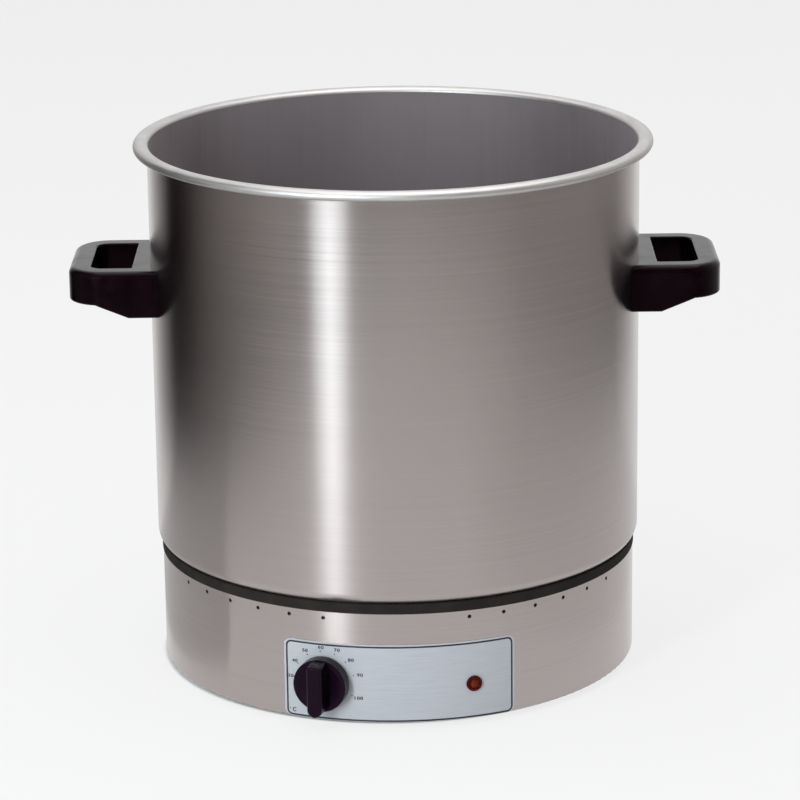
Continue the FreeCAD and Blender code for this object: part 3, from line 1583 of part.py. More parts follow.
def make_wires():
    """Insulated wires along the routes that they take round the base."""
    radius = value("wire_radius")
    element_low = value("element_end - pin_length - close_gap")
    cutout_low = value("cutout_under - tab_length - close_gap")
    cutout_x, cutout_y = value("cutout_radius / 2"), value("cutout_back")
    right, left = element_end_spot(1), element_end_spot(-1)
    dial_angle = math.radians(value("dial_angle"))
    inward = step(-math.sin(dial_angle), math.cos(dial_angle), 0)
    high, middle, low = tab_end(1), tab_end(0), tab_end(-1)
    start = pole_spot(POLES[0])
    node(
        tube(
            "live_wire",
            rounded_path(
                [
                    start,
                    start + step(0, -16, 0),
                    start + step(-22, -40, 8),
                    start + step(-48, -80, 14),
                    start + step(-52, -125, 13),
                    low + inward * 50 + step(-14, 0, 4),
                    low + inward * 16,
                    low,
                ]
            ),
            radius,
        )
    )
    cutout_left = Vector(-cutout_x, cutout_y, cutout_low)
    node(
        tube(
            "heater_wire",
            rounded_path(
                [
                    cutout_left,
                    cutout_left + step(0, 0, -18),
                    cutout_left + step(-16, -22, -30),
                    cutout_left + step(-34, -70, -30),
                    cutout_left + step(-36, -115, -27),
                    middle + inward * 32 + step(4, 0, 4),
                    middle + inward * 14,
                    middle,
                ]
            ),
            radius,
        )
    )
    cutout_right = Vector(cutout_x, cutout_y, cutout_low)
    pin_right = Vector(right.x, right.y, element_low)
    node(
        tube(
            "cutout_wire",
            rounded_path(
                [
                    cutout_right,
                    cutout_right + step(0, 0, -16),
                    cutout_right + step(8, 4, -34),
                    pin_right + step(-10, -10, -18),
                    pin_right + step(0, 0, -14),
                    pin_right,
                ]
            ),
            radius,
        )
    )
    start = pole_spot(POLES[1])
    pin_left = Vector(left.x, left.y, element_low)
    node(
        tube(
            "neutral_wire",
            rounded_path(
                [
                    start,
                    start + step(0, -14, 0),
                    start + step(-10, -24, 7),
                    pin_left + step(-3, -12, -16),
                    pin_left + step(0, 0, -13),
                    pin_left,
                ]
            ),
            radius,
        )
    )
    start = pole_spot(POLES[3])
    tag = Vector(value("earth_side"), value("block_back"), value("skirt_bottom"))
    tag_end = tag + Vector(0, -value("earth_tag_radius + close_gap"), radius)
    node(
        tube(
            "earth_wire",
            rounded_path(
                [
                    start,
                    start + step(0, -13, 0),
                    start + step(14, -22, 3),
                    tag_end + step(-14, -15, 5),
                    tag_end + step(0, -10, 0),
                    tag_end,
                ]
            ),
            radius,
        )
    )
    make_lamp_leads(high, inward, radius)


def make_lamp_leads(high, inward, radius):
    """Two leads from the lamp: one to the thermostat and one to the terminal block."""
    lamp_angle = math.radians(value("lamp_angle"))
    lamp_inward = step(-math.sin(lamp_angle), math.cos(lamp_angle), 0)
    back = "label_radius - lamp_body_length - close_gap"
    upper = swing("lamp_angle", "-lamp_body_radius / 2", back, "lamp_z")
    lower = swing("lamp_angle", "lamp_body_radius / 2", back, "lamp_z")
    start = pole_spot(POLES[2])
    to_thermostat = [
        upper,
        upper + lamp_inward * 14,
        upper + lamp_inward * 30 + step(-16, 0, 6),
        high + inward * 26 + step(22, 0, 2),
        high + inward * 13,
        high,
    ]
    to_block = [
        lower,
        lower + lamp_inward * 16,
        lower + lamp_inward * 44 + step(6, 0, 8),
        lower + lamp_inward * 90 + step(18, 10, 12),
        start + step(42, -80, 14),
        start + step(20, -38, 8),
        start + step(0, -15, 0),
        start,
    ]
    leads = [
        tube("lamp_lead_live", rounded_path(to_thermostat), radius),
        tube("lamp_lead_neutral", rounded_path(to_block), radius),
    ]
    node(group("lamp_leads", leads))


# ---------------------------------------------------------------- checks and files
def check_document():
    """Stop if any object failed or any sub-part has no sound shape."""
    for item in doc.Objects:
        if "Invalid" in item.State or "Error" in item.State:
            raise RuntimeError(f"{item.Name} failed: {item.State}")
    for item in nodes:
        if item.Shape.isNull() or not item.Shape.isValid() or not item.Shape.Solids:
            raise RuntimeError(f"{item.Name} has no sound shape")


def write_files():
    os.makedirs("parts", exist_ok=True)
    for item in nodes:
        item.Shape.exportStep(f"parts/{item.Label}.step")
        print(f"{item.Label}: {len(item.Shape.Solids)} solid(s), {item.Shape.Volume:.0f} mm3")


fill_sheet()
make_pot()
make_handles()
make_insulating_ring()
make_skirt()
make_base_plate()
make_feet()
make_centre_stud()
make_spreader()
make_heating_element()
make_element_ends()
make_element_clamp()
make_heat_shield()
make_thermal_cutout()
make_bulb()
make_capillary()
make_thermostat()
make_spindle()
make_knob()
make_knob_spring()
make_label()
make_lamp()
make_terminal_block()
make_earth_stud()
make_gland()
make_wires()
doc.recompute()
check_document()
write_files()
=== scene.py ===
"""Looks of the candle wax melter: its finishes, its printed dial, its rolled steel and its light.

Metres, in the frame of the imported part: +Z up, the front faces -Y, the handles lie along X.
"""

import json
import math

import bmesh
import bpy
from mathutils import Matrix, Vector


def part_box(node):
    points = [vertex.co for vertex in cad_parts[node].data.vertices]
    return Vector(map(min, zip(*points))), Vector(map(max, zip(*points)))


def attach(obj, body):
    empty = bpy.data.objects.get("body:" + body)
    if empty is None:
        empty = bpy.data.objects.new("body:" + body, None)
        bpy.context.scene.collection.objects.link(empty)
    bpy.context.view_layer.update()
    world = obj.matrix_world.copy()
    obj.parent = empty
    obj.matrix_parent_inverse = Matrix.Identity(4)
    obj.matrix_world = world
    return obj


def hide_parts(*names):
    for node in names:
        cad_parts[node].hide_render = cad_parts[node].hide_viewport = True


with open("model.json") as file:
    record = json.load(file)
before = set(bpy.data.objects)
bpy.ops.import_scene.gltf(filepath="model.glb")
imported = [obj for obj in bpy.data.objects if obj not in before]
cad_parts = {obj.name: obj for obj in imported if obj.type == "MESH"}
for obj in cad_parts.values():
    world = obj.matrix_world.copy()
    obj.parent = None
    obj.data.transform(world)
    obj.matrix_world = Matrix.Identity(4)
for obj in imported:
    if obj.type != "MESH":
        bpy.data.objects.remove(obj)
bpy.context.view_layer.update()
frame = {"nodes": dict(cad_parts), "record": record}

UP = Vector((0, 0, 1))
FULL_TURN = 2 * math.pi
MM = 0.001
MERGE_DISTANCE = 0.001 * MM

# The pot's rolled steel: an oval rim of two flat crowns and two tight sides.
POT_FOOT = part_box("pot")[0].z
POT_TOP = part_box("pot")[1].z
POT_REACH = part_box("pot")[1].x
SHEET = 1.0 * MM
BEND = 8.0 * MM
RIM_HALF_WIDTH = 5.45 * MM
RIM_HALF_HEIGHT = 3.6 * MM
RIM_SIDE = 2.9 * MM
RIM_CURL = 12.0
POT_SEGMENTS = 256
BEND_STEPS = 8
RIM_FINISH, INNER_FINISH = 1, 2
INNER_SIDE_STEPS, TOP_STEPS, OUTER_SIDE_STEPS, UNDERSIDE_STEPS = 10, 10, 18, 8

# The dial, the lamp and the label, on the skirt's front.
LABEL_RADIUS = 173.15 * MM
LABEL_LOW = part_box("front_label")[0].z
LABEL_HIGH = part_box("front_label")[1].z
LABEL_HALF_ANGLE = math.radians(27.8)
BORDER_CORNER = 4.2 * MM
BORDER_CORNER_STEPS = 6
BORDER_SIDE_INSET = 1.8 * MM
BORDER_TOP_INSET = 1.2 * MM
BORDER_FOOT_INSET = 0.35 * MM
BORDER_WIDTH = 1.2 * MM
BORDER_CUTS = 16
PRINT_LIFT = 0.06 * MM
PRINT_DEPTH = 0.03 * MM
DIAL_ANGLE = math.radians(-17.8)
DIAL_HEIGHT = 33.3 * MM
DOT_CIRCLE = 22.3 * MM
DOT_RADIUS = 0.45 * MM
DOT_SEGMENTS = 16
NUMBER_HEIGHT = 2.5 * MM
NUMBER_WIDTHS = {2: 4.2 * MM, 3: 6.1 * MM}
# Edge added round each letter, and distance under which its points merge, in the text's own size.
NUMBER_BOLDNESS, NUMBER_MERGE = 0.03, 0.0001
NUMBER_SPACING = 1.15
DEGREE_SPOT = (-25.9 * MM, -22.7 * MM)
UNIT_SPOT = (-22.7 * MM, -23.6 * MM)
UNIT_SIZE = (2.9 * MM, 3.1 * MM)
LAMP_ANGLE = math.radians(17.45)
LAMP_HEIGHT = 30.8 * MM
LAMP_RADIUS = (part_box("lamp_lens")[1].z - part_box("lamp_lens")[0].z) / 2
LAMP_JEWEL_RADIUS = 3.4 * MM
LAMP_COLLAR_HEIGHT = 1.9 * MM
LAMP_COLLAR_ROUND = 0.8 * MM
LAMP_COLLAR_STEPS = 4
LAMP_LIP_WIDTH, LAMP_LIP_DEPTH = 0.4 * MM, 0.5 * MM
JEWEL_FOOT, JEWEL_SHOULDER, JEWEL_RISE = 0.1 * MM, 1.0 * MM, 1.0 * MM
JEWEL_GAP = 0.02 * MM
JEWEL_STEPS = 8
LAMP_SEGMENTS = 64
JEWEL_FINISH = 1
# Number, clockwise angle of its dot from the top, angle and distance in mm of the number itself.
SCALE = (
    ("30", -87.0, -86.9, 25.1),
    ("40", -59.7, -58.9, 25.3),
    ("50", -32.5, -32.5, 25.6),
    ("60", -5.8, -3.9, 25.2),
    ("70", 21.2, 22.5, 26.0),
    ("80", 45.8, 48.9, 26.3),
    ("90", 74.4, 75.9, 26.9),
    ("100", 114.0, 112.9, 27.2),
)

# The view.
CAMERA_LENS, CAMERA_SENSOR = 160.2, 36
CAMERA_REACH = 50
CAMERA_DISTANCE = 2.60045
CAMERA_RISE = math.radians(16.186)
CAMERA_ROLL = math.radians(0.7164)
CAMERA_TARGET = Vector((0.002711, 0, 0.189288))

# The studio.
FLOOR_REACH = 12.0
FLOOR_PAINT, WALL_PAINT, WALL_LIGHT = 0.86, 0.9, 0.55
# White of the floor and walls where they are the background, and how much of it the floor shows.
FLOOR_WHITE, WALL_WHITE, FLOOR_GLOW = 0.915, 0.905, 0.85
SCREEN_CENTRE = Vector((0.11, -0.20, 0.001))
SCREEN_RADIUS = 1.15
SCREEN_NARROWING = 0.60
SCREEN_HEIGHT = 1.5
SCREEN_STEPS = 96
# The screen's ends, in degrees about its own middle, before it is narrowed.
SCREEN_LEFT, SCREEN_RIGHT = -135, 145
# Degrees from the front where each end begins to thin, and where nothing of it is left.
LEFT_THINS, LEFT_ENDS = -113, -147
RIGHT_THINS, RIGHT_ENDS = 114, 145
# The screen's brightness at the floor, and the height from which it is full.
SCREEN_FOOT, SCREEN_FADE = 0.22, 0.5
SHADES_END = 146
CARD_LIFT = 1.0 * MM
# Low corner, high corner and shade of each grey card, just above the floor.
LEFT_CARD = ((-0.50, -0.12), (-0.20, 0.25), 0.62)
RIGHT_CARD = ((0.25, -0.50), (0.80, 0.35), 0.80)
# Middle of the round under the pot where the floor stays dark, and where its edge begins and ends.
SHADE_CENTRE = Vector((-4.1, 9.0, 0)) * MM
SHADE_RADII = (169.5 * MM, 172.0 * MM)
STRIP_PLACE, STRIP_TARGET = (-0.780, -1.461, 0.62), (0, 0, 0.25)
STRIP_SIZE, STRIP_POWER, STRIP_SHADE = (0.26, 1.2), 25, (0.86, 0.96, 1.0)
CEILING_PLACE, CEILING_TARGET = (0.0, 0.1, 2.2), (0, 0.1, 0)
CEILING_SIZE, CEILING_POWER = (2.4, 2.4), 30
# Shades of the screen: degrees from the front, red, green and blue.
SCREEN_SHADES = (
    (-146, 0.020, 0.016, 0.018),
    (-106, 0.025, 0.020, 0.022),
    (-96, 0.09, 0.082, 0.078),
    (-87, 0.23, 0.216, 0.207),
    (-73, 0.42, 0.405, 0.395),
    (-48, 0.72, 0.71, 0.70),
    (-38, 0.65, 0.64, 0.63),
    (-18, 0.43, 0.42, 0.41),
    (20, 0.42, 0.41, 0.40),
    (40, 0.58, 0.56, 0.55),
    (90, 0.66, 0.64, 0.63),
    (109, 0.62, 0.60, 0.59),
    (146, 0.50, 0.48, 0.47),
)


# ---------------------------------------------------------------- node trees
def add_node(tree, kind, inputs=None, **settings):
    """Add a node; an input takes another node's socket or a constant."""
    item = tree.nodes.new(kind)
    for name, setting in settings.items():
        setattr(item, name, setting)
    for key, source in (inputs or {}).items():
        if isinstance(source, bpy.types.NodeSocket):
            tree.links.new(source, item.inputs[key])
        else:
            item.inputs[key].default_value = source
    return item


def new_finish(name, **constants):
    """Material whose constants stand on the shader's own sockets."""
    material = bpy.data.materials.new(name)
    material.use_nodes = True
    shader = material.node_tree.nodes["Principled BSDF"]
    for socket, constant in constants.items():
        shader.inputs[socket.replace("_", " ")].default_value = constant
    return material, material.node_tree, shader


def colour(red, green, blue):
    """Opaque colour."""
    return (red, green, blue, 1.0)


def object_place(tree):
    """Place on the piece, which every pattern reads."""
    return add_node(tree, "ShaderNodeTexCoord").outputs["Object"]


def stretched_noise(tree, place, scale, detail=3.0, roughness=0.55):
    """Noise with its own scale along each axis, in waves a metre."""
    mapping = add_node(tree, "ShaderNodeMapping", {"Vector": place, "Scale": scale})
    noise = add_node(
        tree,
        "ShaderNodeTexNoise",
        {"Vector": mapping.outputs[0], "Scale": 1.0, "Detail": detail, "Roughness": roughness},
    )
    return noise.outputs["Fac"]


def spread(tree, source, low, high, start=0.3, end=0.7):
    """Map a noise, or another number, from start and end to low and high."""
    item = add_node(
        tree,
        "ShaderNodeMapRange",
        {"Value": source, "From Min": start, "From Max": end, "To Min": low, "To Max": high},
    )
    return item.outputs["Result"]


def tinted(tree, source, dark, light, start=0.3, end=0.7):
    """Map a noise to a blend of two colours."""
    ramp = add_node(tree, "ShaderNodeValToRGB", {"Fac": source})
    first, last = ramp.color_ramp.elements
    first.position, first.color = start, dark
    last.position, last.color = end, light
    return ramp.outputs["Color"]


def combine(tree, operation, first, second):
    """Result of one operation on two numbers or sockets."""
    return add_node(tree, "ShaderNodeMath", {0: first, 1: second}, operation=operation).outputs[0]


def bumped(tree, shader, source, strength, distance):
    """Raise and sink a shader's surface by a noise."""
    bump = add_node(
        tree, "ShaderNodeBump", {"Height": source, "Strength": strength, "Distance": distance}
    )
    tree.links.new(bump.outputs["Normal"], shader.inputs["Normal"])


# ---------------------------------------------------------------- finishes
def brushed_steel(name, dark, light, roughness, brushing):
    """Sheet steel brushed round the pot's axis: sharp along the brush lines, blurred across them."""
    material, tree, shader = new_finish(
        name, Metallic=1.0, Anisotropic=0.9, Anisotropic_Rotation=0.25
    )
    place = object_place(tree)
    around = add_node(tree, "ShaderNodeVectorMath", {0: place, 1: UP}, operation="CROSS_PRODUCT")
    level = add_node(tree, "ShaderNodeVectorMath", {0: around.outputs[0]}, operation="NORMALIZE")
    tree.links.new(level.outputs[0], shader.inputs["Tangent"])
    lines = stretched_noise(tree, place, (4, 4, 1300), detail=2, roughness=0.6)
    tree.links.new(tinted(tree, lines, dark, light), shader.inputs["Base Color"])
    tree.links.new(
        spread(tree, lines, roughness - 0.012, roughness + 0.012), shader.inputs["Roughness"]
    )
    bumped(tree, shader, lines, brushing, 0.02 * MM)
    return material


def drawn_steel(name, dark, light, roughness):
    """Inside of the drawn pot: a satin grain with fine upright streaks, lighter and darker, and faint
    stains.
    """
    material, tree, shader = new_finish(name, Metallic=1.0)
    place = object_place(tree)
    marks = stretched_noise(tree, place, (330, 330, 7), detail=4, roughness=0.65)
    cloud = stretched_noise(tree, place, (13, 13, 6), detail=2)
    both = combine(tree, "MULTIPLY_ADD", marks, 0.6)
    # The third input is what the product is added to.
    tree.links.new(cloud, both.node.inputs[2])
    tree.links.new(tinted(tree, both, dark, light, 0.5, 1.1), shader.inputs["Base Color"])
    tree.links.new(
        spread(tree, both, roughness - 0.05, roughness + 0.05, 0.5, 1.1), shader.inputs["Roughness"]
    )
    bumped(tree, shader, marks, 0.10, 0.05 * MM)
    return material


def rolled_steel(name):
    """Satin roll of the rim, with faint handling marks round it."""
    material, tree, shader = new_finish(name, Metallic=1.0)
    place = object_place(tree)
    marks = stretched_noise(tree, place, (45, 45, 900), detail=4)
    tree.links.new(
        tinted(tree, marks, colour(0.485, 0.470, 0.462), colour(0.565, 0.552, 0.544)),
        shader.inputs["Base Color"],
    )
    tree.links.new(spread(tree, marks, 0.42, 0.50), shader.inputs["Roughness"])
    bumped(tree, shader, marks, 0.06, 0.05 * MM)
    return material


def moulded_plastic(name, dark, light, roughness, grain, depth, gloss=0.5, face_on=(1, 1, 1)):
    """Moulded plastic with a fine grain and a little wear; face_on tints its shine seen straight on."""
    material, tree, shader = new_finish(
        name, Specular_IOR_Level=gloss, Specular_Tint=colour(*face_on)
    )
    place = object_place(tree)
    fine = stretched_noise(tree, place, (grain, grain, grain), detail=3)
    wear = stretched_noise(tree, place, (60, 60, 60), detail=3)
    tree.links.new(tinted(tree, wear, dark, light), shader.inputs["Base Color"])
    tree.links.new(
        spread(tree, wear, roughness - 0.05, roughness + 0.07), shader.inputs["Roughness"]
    )
    bumped(tree, shader, fine, depth, 0.06 * MM)
    return material


def plain_metal(name, dark, light, roughness, scale=(300, 300, 300)):
    """Sheet, wire or turned metal with a fine grain."""
    material, tree, shader = new_finish(name, Metallic=1.0)
    place = object_place(tree)
    grain = stretched_noise(tree, place, scale, detail=4)
    tree.links.new(tinted(tree, grain, dark, light), shader.inputs["Base Color"])
    tree.links.new(
        spread(tree, grain, roughness - 0.07, roughness + 0.08), shader.inputs["Roughness"]
    )
    bumped(tree, shader, grain, 0.15, 0.05 * MM)
    return material


def label_foil(name):
    """Silver-blue printed foil with a faint level grain."""
    material, tree, shader = new_finish(name, Metallic=0.03, Specular_IOR_Level=0.12)
    place = object_place(tree)
    grain = stretched_noise(tree, place, (60, 60, 1800), detail=3)
    tree.links.new(
        tinted(tree, grain, colour(0.343, 0.348, 0.372), colour(0.378, 0.383, 0.406)),
        shader.inputs["Base Color"],
    )
    tree.links.new(spread(tree, grain, 0.38, 0.48), shader.inputs["Roughness"])
    bumped(tree, shader, grain, 0.05, 0.03 * MM)
    return material


def printing_ink(name, dark, light):
    """Screen print, a little uneven in its cover."""
    material, tree, shader = new_finish(name, Specular_IOR_Level=0.4)
    place = object_place(tree)
    cover = stretched_noise(tree, place, (2500, 2500, 2500), detail=2)
    tree.links.new(tinted(tree, cover, dark, light), shader.inputs["Base Color"])
    tree.links.new(spread(tree, cover, 0.4, 0.55), shader.inputs["Roughness"])
    return material


def lamp_plastic(name, deep, bright, glow):
    """Coloured plastic or glass of the lamp, with a share of glow from within."""
    material, tree, shader = new_finish(
        name,
        Specular_IOR_Level=0.04,
        Coat_Weight=0.02,
        Coat_Roughness=0.08,
        Emission_Strength=glow,
    )
    place = object_place(tree)
    facets = stretched_noise(tree, place, (420, 420, 90), detail=2)
    shade = tinted(tree, facets, deep, bright, 0.35, 0.65)
    tree.links.new(shade, shader.inputs["Base Color"])
    tree.links.new(shade, shader.inputs["Emission Color"])
    tree.links.new(spread(tree, facets, 0.18, 0.3), shader.inputs["Roughness"])
    bumped(tree, shader, facets, 0.2, 0.1 * MM)
    return material


def make_finishes():
    """Every finish by name: one for each slot of the record, and three for parts of new pieces."""
    plum, dark_plum = colour(0.0050, 0.0018, 0.0050), colour(0.0030, 0.0010, 0.0030)
    black, soot = colour(0.0015, 0.0004, 0.0008), colour(0.0035, 0.0010, 0.0020)
    return {
        "pot_steel": brushed_steel(
            "pot_steel", colour(0.410, 0.369, 0.358), colour(0.442, 0.399, 0.387), 0.24, 0.02
        ),
        "skirt_steel": brushed_steel(
            "skirt_steel", colour(0.421, 0.379, 0.367), colour(0.453, 0.408, 0.395), 0.22, 0.02
        ),
        "rim_steel": rolled_steel("rim_steel"),
        # The inside's steel is darker than the outside's: painted shade for the inside of the pot.
        "shaded_inner_steel": drawn_steel(
            "shaded_inner_steel", colour(0.274, 0.247, 0.258), colour(0.342, 0.310, 0.324), 0.80
        ),
        "handle_plastic": moulded_plastic(
            "handle_plastic", black, soot, 0.20, 1500, 0.12, 0.8, (0.07, 0.04, 0.055)
        ),
        "knob_plastic": moulded_plastic(
            "knob_plastic", plum, dark_plum, 0.28, 1500, 0.12, 0.25, (0.42, 0.21, 0.42)
        ),
        "ring_plastic": moulded_plastic(
            "ring_plastic", colour(0.009, 0.0065, 0.006), colour(0.018, 0.0135, 0.012), 0.8, 700, 0.4, 0.15
        ),
        "foot_rubber": moulded_plastic(
            "foot_rubber", colour(0.012, 0.012, 0.012), colour(0.03, 0.03, 0.03), 0.8, 900, 0.5, 0.3
        ),
        "gland_plastic": moulded_plastic(
            "gland_plastic", colour(0.010, 0.010, 0.011), colour(0.022, 0.022, 0.024), 0.42, 1100, 0.3
        ),
        "switch_plastic": moulded_plastic(
            "switch_plastic", colour(0.030, 0.028, 0.026), colour(0.055, 0.052, 0.048), 0.5, 900, 0.3
        ),
        "white_ceramic": moulded_plastic(
            "white_ceramic", colour(0.70, 0.67, 0.60), colour(0.82, 0.80, 0.74), 0.55, 1200, 0.4
        ),
        "plated_steel": plain_metal(
            "plated_steel", colour(0.50, 0.50, 0.50), colour(0.66, 0.66, 0.65), 0.36, (90, 90, 90)
        ),
        "fastener_steel": plain_metal(
            "fastener_steel", colour(0.48, 0.47, 0.46), colour(0.64, 0.63, 0.61), 0.32
        ),
        "sheet_aluminium": plain_metal(
            "sheet_aluminium", colour(0.68, 0.68, 0.69), colour(0.82, 0.82, 0.83), 0.38, (30, 600, 300)
        ),
        "element_steel": plain_metal(
            "element_steel", colour(0.20, 0.17, 0.15), colour(0.34, 0.30, 0.27), 0.48, (140, 140, 140)
        ),
        "bright_brass": plain_metal(
            "bright_brass", colour(0.62, 0.44, 0.16), colour(0.76, 0.58, 0.26), 0.28
        ),
        "copper": plain_metal("copper", colour(0.66, 0.31, 0.17), colour(0.80, 0.43, 0.26), 0.3),
        "label_foil": label_foil("label_foil"),
        "lamp_white": moulded_plastic(
            "lamp_white", colour(0.62, 0.61, 0.57), colour(0.74, 0.73, 0.69), 0.45, 900, 0.2
        ),
        "lamp_amber": lamp_plastic(
            "lamp_amber", colour(0.060, 0.008, 0.003), colour(0.135, 0.020, 0.007), 0.01
        ),
        "lamp_bezel": lamp_plastic(
            "lamp_bezel", colour(0.035, 0.003, 0.0015), colour(0.060, 0.005, 0.003), 0.0
        ),
        "lamp_glass": lamp_plastic(
            "lamp_glass", colour(0.70, 0.45, 0.30), colour(0.85, 0.62, 0.45), 0.2
        ),
        "wire_brown": moulded_plastic(
            "wire_brown", colour(0.09, 0.035, 0.015), colour(0.14, 0.06, 0.03), 0.45, 900, 0.2
        ),
        "wire_blue": moulded_plastic(
            "wire_blue", colour(0.02, 0.09, 0.30), colour(0.04, 0.14, 0.40), 0.45, 900, 0.2
        ),
        "wire_green": moulded_plastic(
            "wire_green", colour(0.06, 0.26, 0.04), colour(0.52, 0.50, 0.05), 0.45, 160, 0.2
        ),
        "wire_white": moulded_plastic(
            "wire_white", colour(0.66, 0.66, 0.63), colour(0.78, 0.78, 0.75), 0.45, 900, 0.2
        ),
    }


def dress_frame(finishes):
    """Give each CAD node the finish of its slot in the record."""
    for part in frame["record"]["subparts"]:
        piece = frame["nodes"][part["node"]]
        piece.data.materials.clear()
        piece.data.materials.append(finishes[part["material_slot"]])


# ---------------------------------------------------------------- mesh tools
def finished(name, bm, materials, body):
    """Close a bmesh into a piece that rides on a body."""
    bmesh.ops.recalc_face_normals(bm, faces=bm.faces)
    mesh = bpy.data.meshes.new(name)
    bm.to_mesh(mesh)
    bm.free()
    mesh.polygons.foreach_set("use_smooth", [True] * len(mesh.polygons))
    for material in materials:
        mesh.materials.append(material)
    piece = bpy.data.objects.new(name, mesh)
    bpy.context.scene.collection.objects.link(piece)
    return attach(piece, body)


def outline_line(bm, last, x, z):
    """Carry an outline in the XZ plane straight on to a point."""
    geom = bmesh.ops.extrude_vert_indiv(bm, verts=[last])
    last = geom["verts"][0]
    last.co = Vector((x, 0, z))
    return last


def outline_arc(bm, last, centre, degrees, steps):
    """Carry an outline on round an arc; positive degrees turn from +X towards -Z."""
    x, z = centre
    geom = bmesh.ops.spin(
        bm,
        geom=[last],
        cent=(x, 0, z),
        axis=(0, 1, 0),
        angle=math.radians(degrees),
        steps=steps,
        use_merge=False,
        use_duplicate=False,
    )
    return geom["geom_last"][0]


def turned(bm, segments):
    """Turn an outline in the XZ plane into a solid of revolution about Z."""
    bmesh.ops.spin(
        bm,
        geom=bm.verts[:] + bm.edges[:],
        cent=(0, 0, 0),
        axis=(0, 0, 1),
        angle=FULL_TURN,
        steps=segments,
        use_merge=True,
        use_duplicate=False,
    )
    bmesh.ops.remove_doubles(bm, verts=bm.verts, dist=MERGE_DISTANCE)


def dial_frame(angle, height):
    """Frame on the label: X to the right, Y up, Z outwards."""
    outward = Vector((math.sin(angle), -math.cos(angle), 0))
    across = UP.cross(outward)
    columns = Matrix((across, UP, outward)).transposed().to_4x4()
    return Matrix.Translation(outward * LABEL_RADIUS + UP * height) @ columns


def bent_to_label(bm, arc, height, lift):
    """Roll a flat print, drawn in the XY plane, round the label with its origin at arc and height."""
    for vert in bm.verts:
        angle = (arc + vert.co.x) / LABEL_RADIUS
        radius = LABEL_RADIUS + lift + vert.co.z
        vert.co = Vector((radius * math.sin(angle), -radius * math.cos(angle), height + vert.co.y))


# ---------------------------------------------------------------- pot
def rolled(bm, last, centre, crown_rise, back):
    """Carry the outline over the rim's oval, or back along its inside."""
    shift = RIM_HALF_WIDTH - RIM_SIDE
    side = math.degrees(math.atan2(crown_rise, shift))
    x, z = centre
    arcs = [
        ((x - shift, z), side, INNER_SIDE_STEPS),
        ((x, z - crown_rise), 180 - 2 * side, TOP_STEPS),
        ((x + shift, z), 2 * side, OUTER_SIDE_STEPS),
        ((x, z + crown_rise), 90 - side + RIM_CURL, UNDERSIDE_STEPS),
    ]
    turn = 1
    if back:
        arcs.reverse()
        turn = -1
    for middle, degrees, steps in arcs:
        last = outline_arc(bm, last, middle, turn * degrees, steps)
    return last


def make_pot(finishes):
    """The pot's steel: floor, wall and rolled rim from one outline."""
    inner = POT_REACH - 2 * RIM_HALF_WIDTH
    outer = inner + SHEET
    bend_x, bend_z = outer - BEND, POT_FOOT + BEND
    x, z = POT_REACH - RIM_HALF_WIDTH, POT_TOP - RIM_HALF_HEIGHT
    shift = RIM_HALF_WIDTH - RIM_SIDE
    crown = (shift**2 + RIM_HALF_HEIGHT**2 - RIM_SIDE**2) / (2 * (RIM_HALF_HEIGHT - RIM_SIDE))
    crown_rise = crown - RIM_HALF_HEIGHT
    floor = POT_FOOT + SHEET
    bm = bmesh.new()
    first = bm.verts.new((0, 0, floor))
    last = outline_line(bm, first, bend_x, floor)
    last = outline_arc(bm, last, (bend_x, bend_z), -90, BEND_STEPS)
    last = outline_line(bm, last, inner, z)
    last = rolled(bm, last, (x, z), crown_rise, back=False)
    curl = math.radians(RIM_CURL)
    end = (crown - SHEET) * Vector((-math.sin(curl), -math.cos(curl)))
    last = outline_line(bm, last, x + end.x, z + crown_rise + end.y)
    last = rolled(bm, last, (x, z), crown_rise, back=True)
    last = outline_line(bm, last, outer, bend_z)
    last = outline_arc(bm, last, (bend_x, bend_z), 90, BEND_STEPS)
    outline_line(bm, last, 0, POT_FOOT)
    turned(bm, POT_SEGMENTS)
    for face in bm.faces:
        spot = face.calc_center_median()
        radius = math.hypot(spot.x, spot.y)
        from_bend = math.hypot(max(radius - bend_x, 0), min(spot.z - bend_z, 0))
        if spot.z > z or radius > outer:
            face.material_index = RIM_FINISH
        elif from_bend < BEND - SHEET / 2:
            face.material_index = INNER_FINISH
    materials = [finishes["pot_steel"], finishes["rim_steel"], finishes["shaded_inner_steel"]]
    pot = finished("steel_pot", bm, materials, "melter")
    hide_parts("pot")


# ---------------------------------------------------------------- print on the label
def printed(name, bm, ink):
    """Close a bmesh into print that stays on the label."""
    return finished(name, bm, [ink], "melter")


def thickened(bm):
    """Give a flat print its ink's depth, upwards."""
    raised = bmesh.ops.extrude_face_region(bm, geom=bm.faces[:])
    bmesh.ops.translate(
        bm,
        vec=(0, 0, PRINT_DEPTH),
        verts=[item for item in raised["geom"] if isinstance(item, bmesh.types.BMVert)],
    )


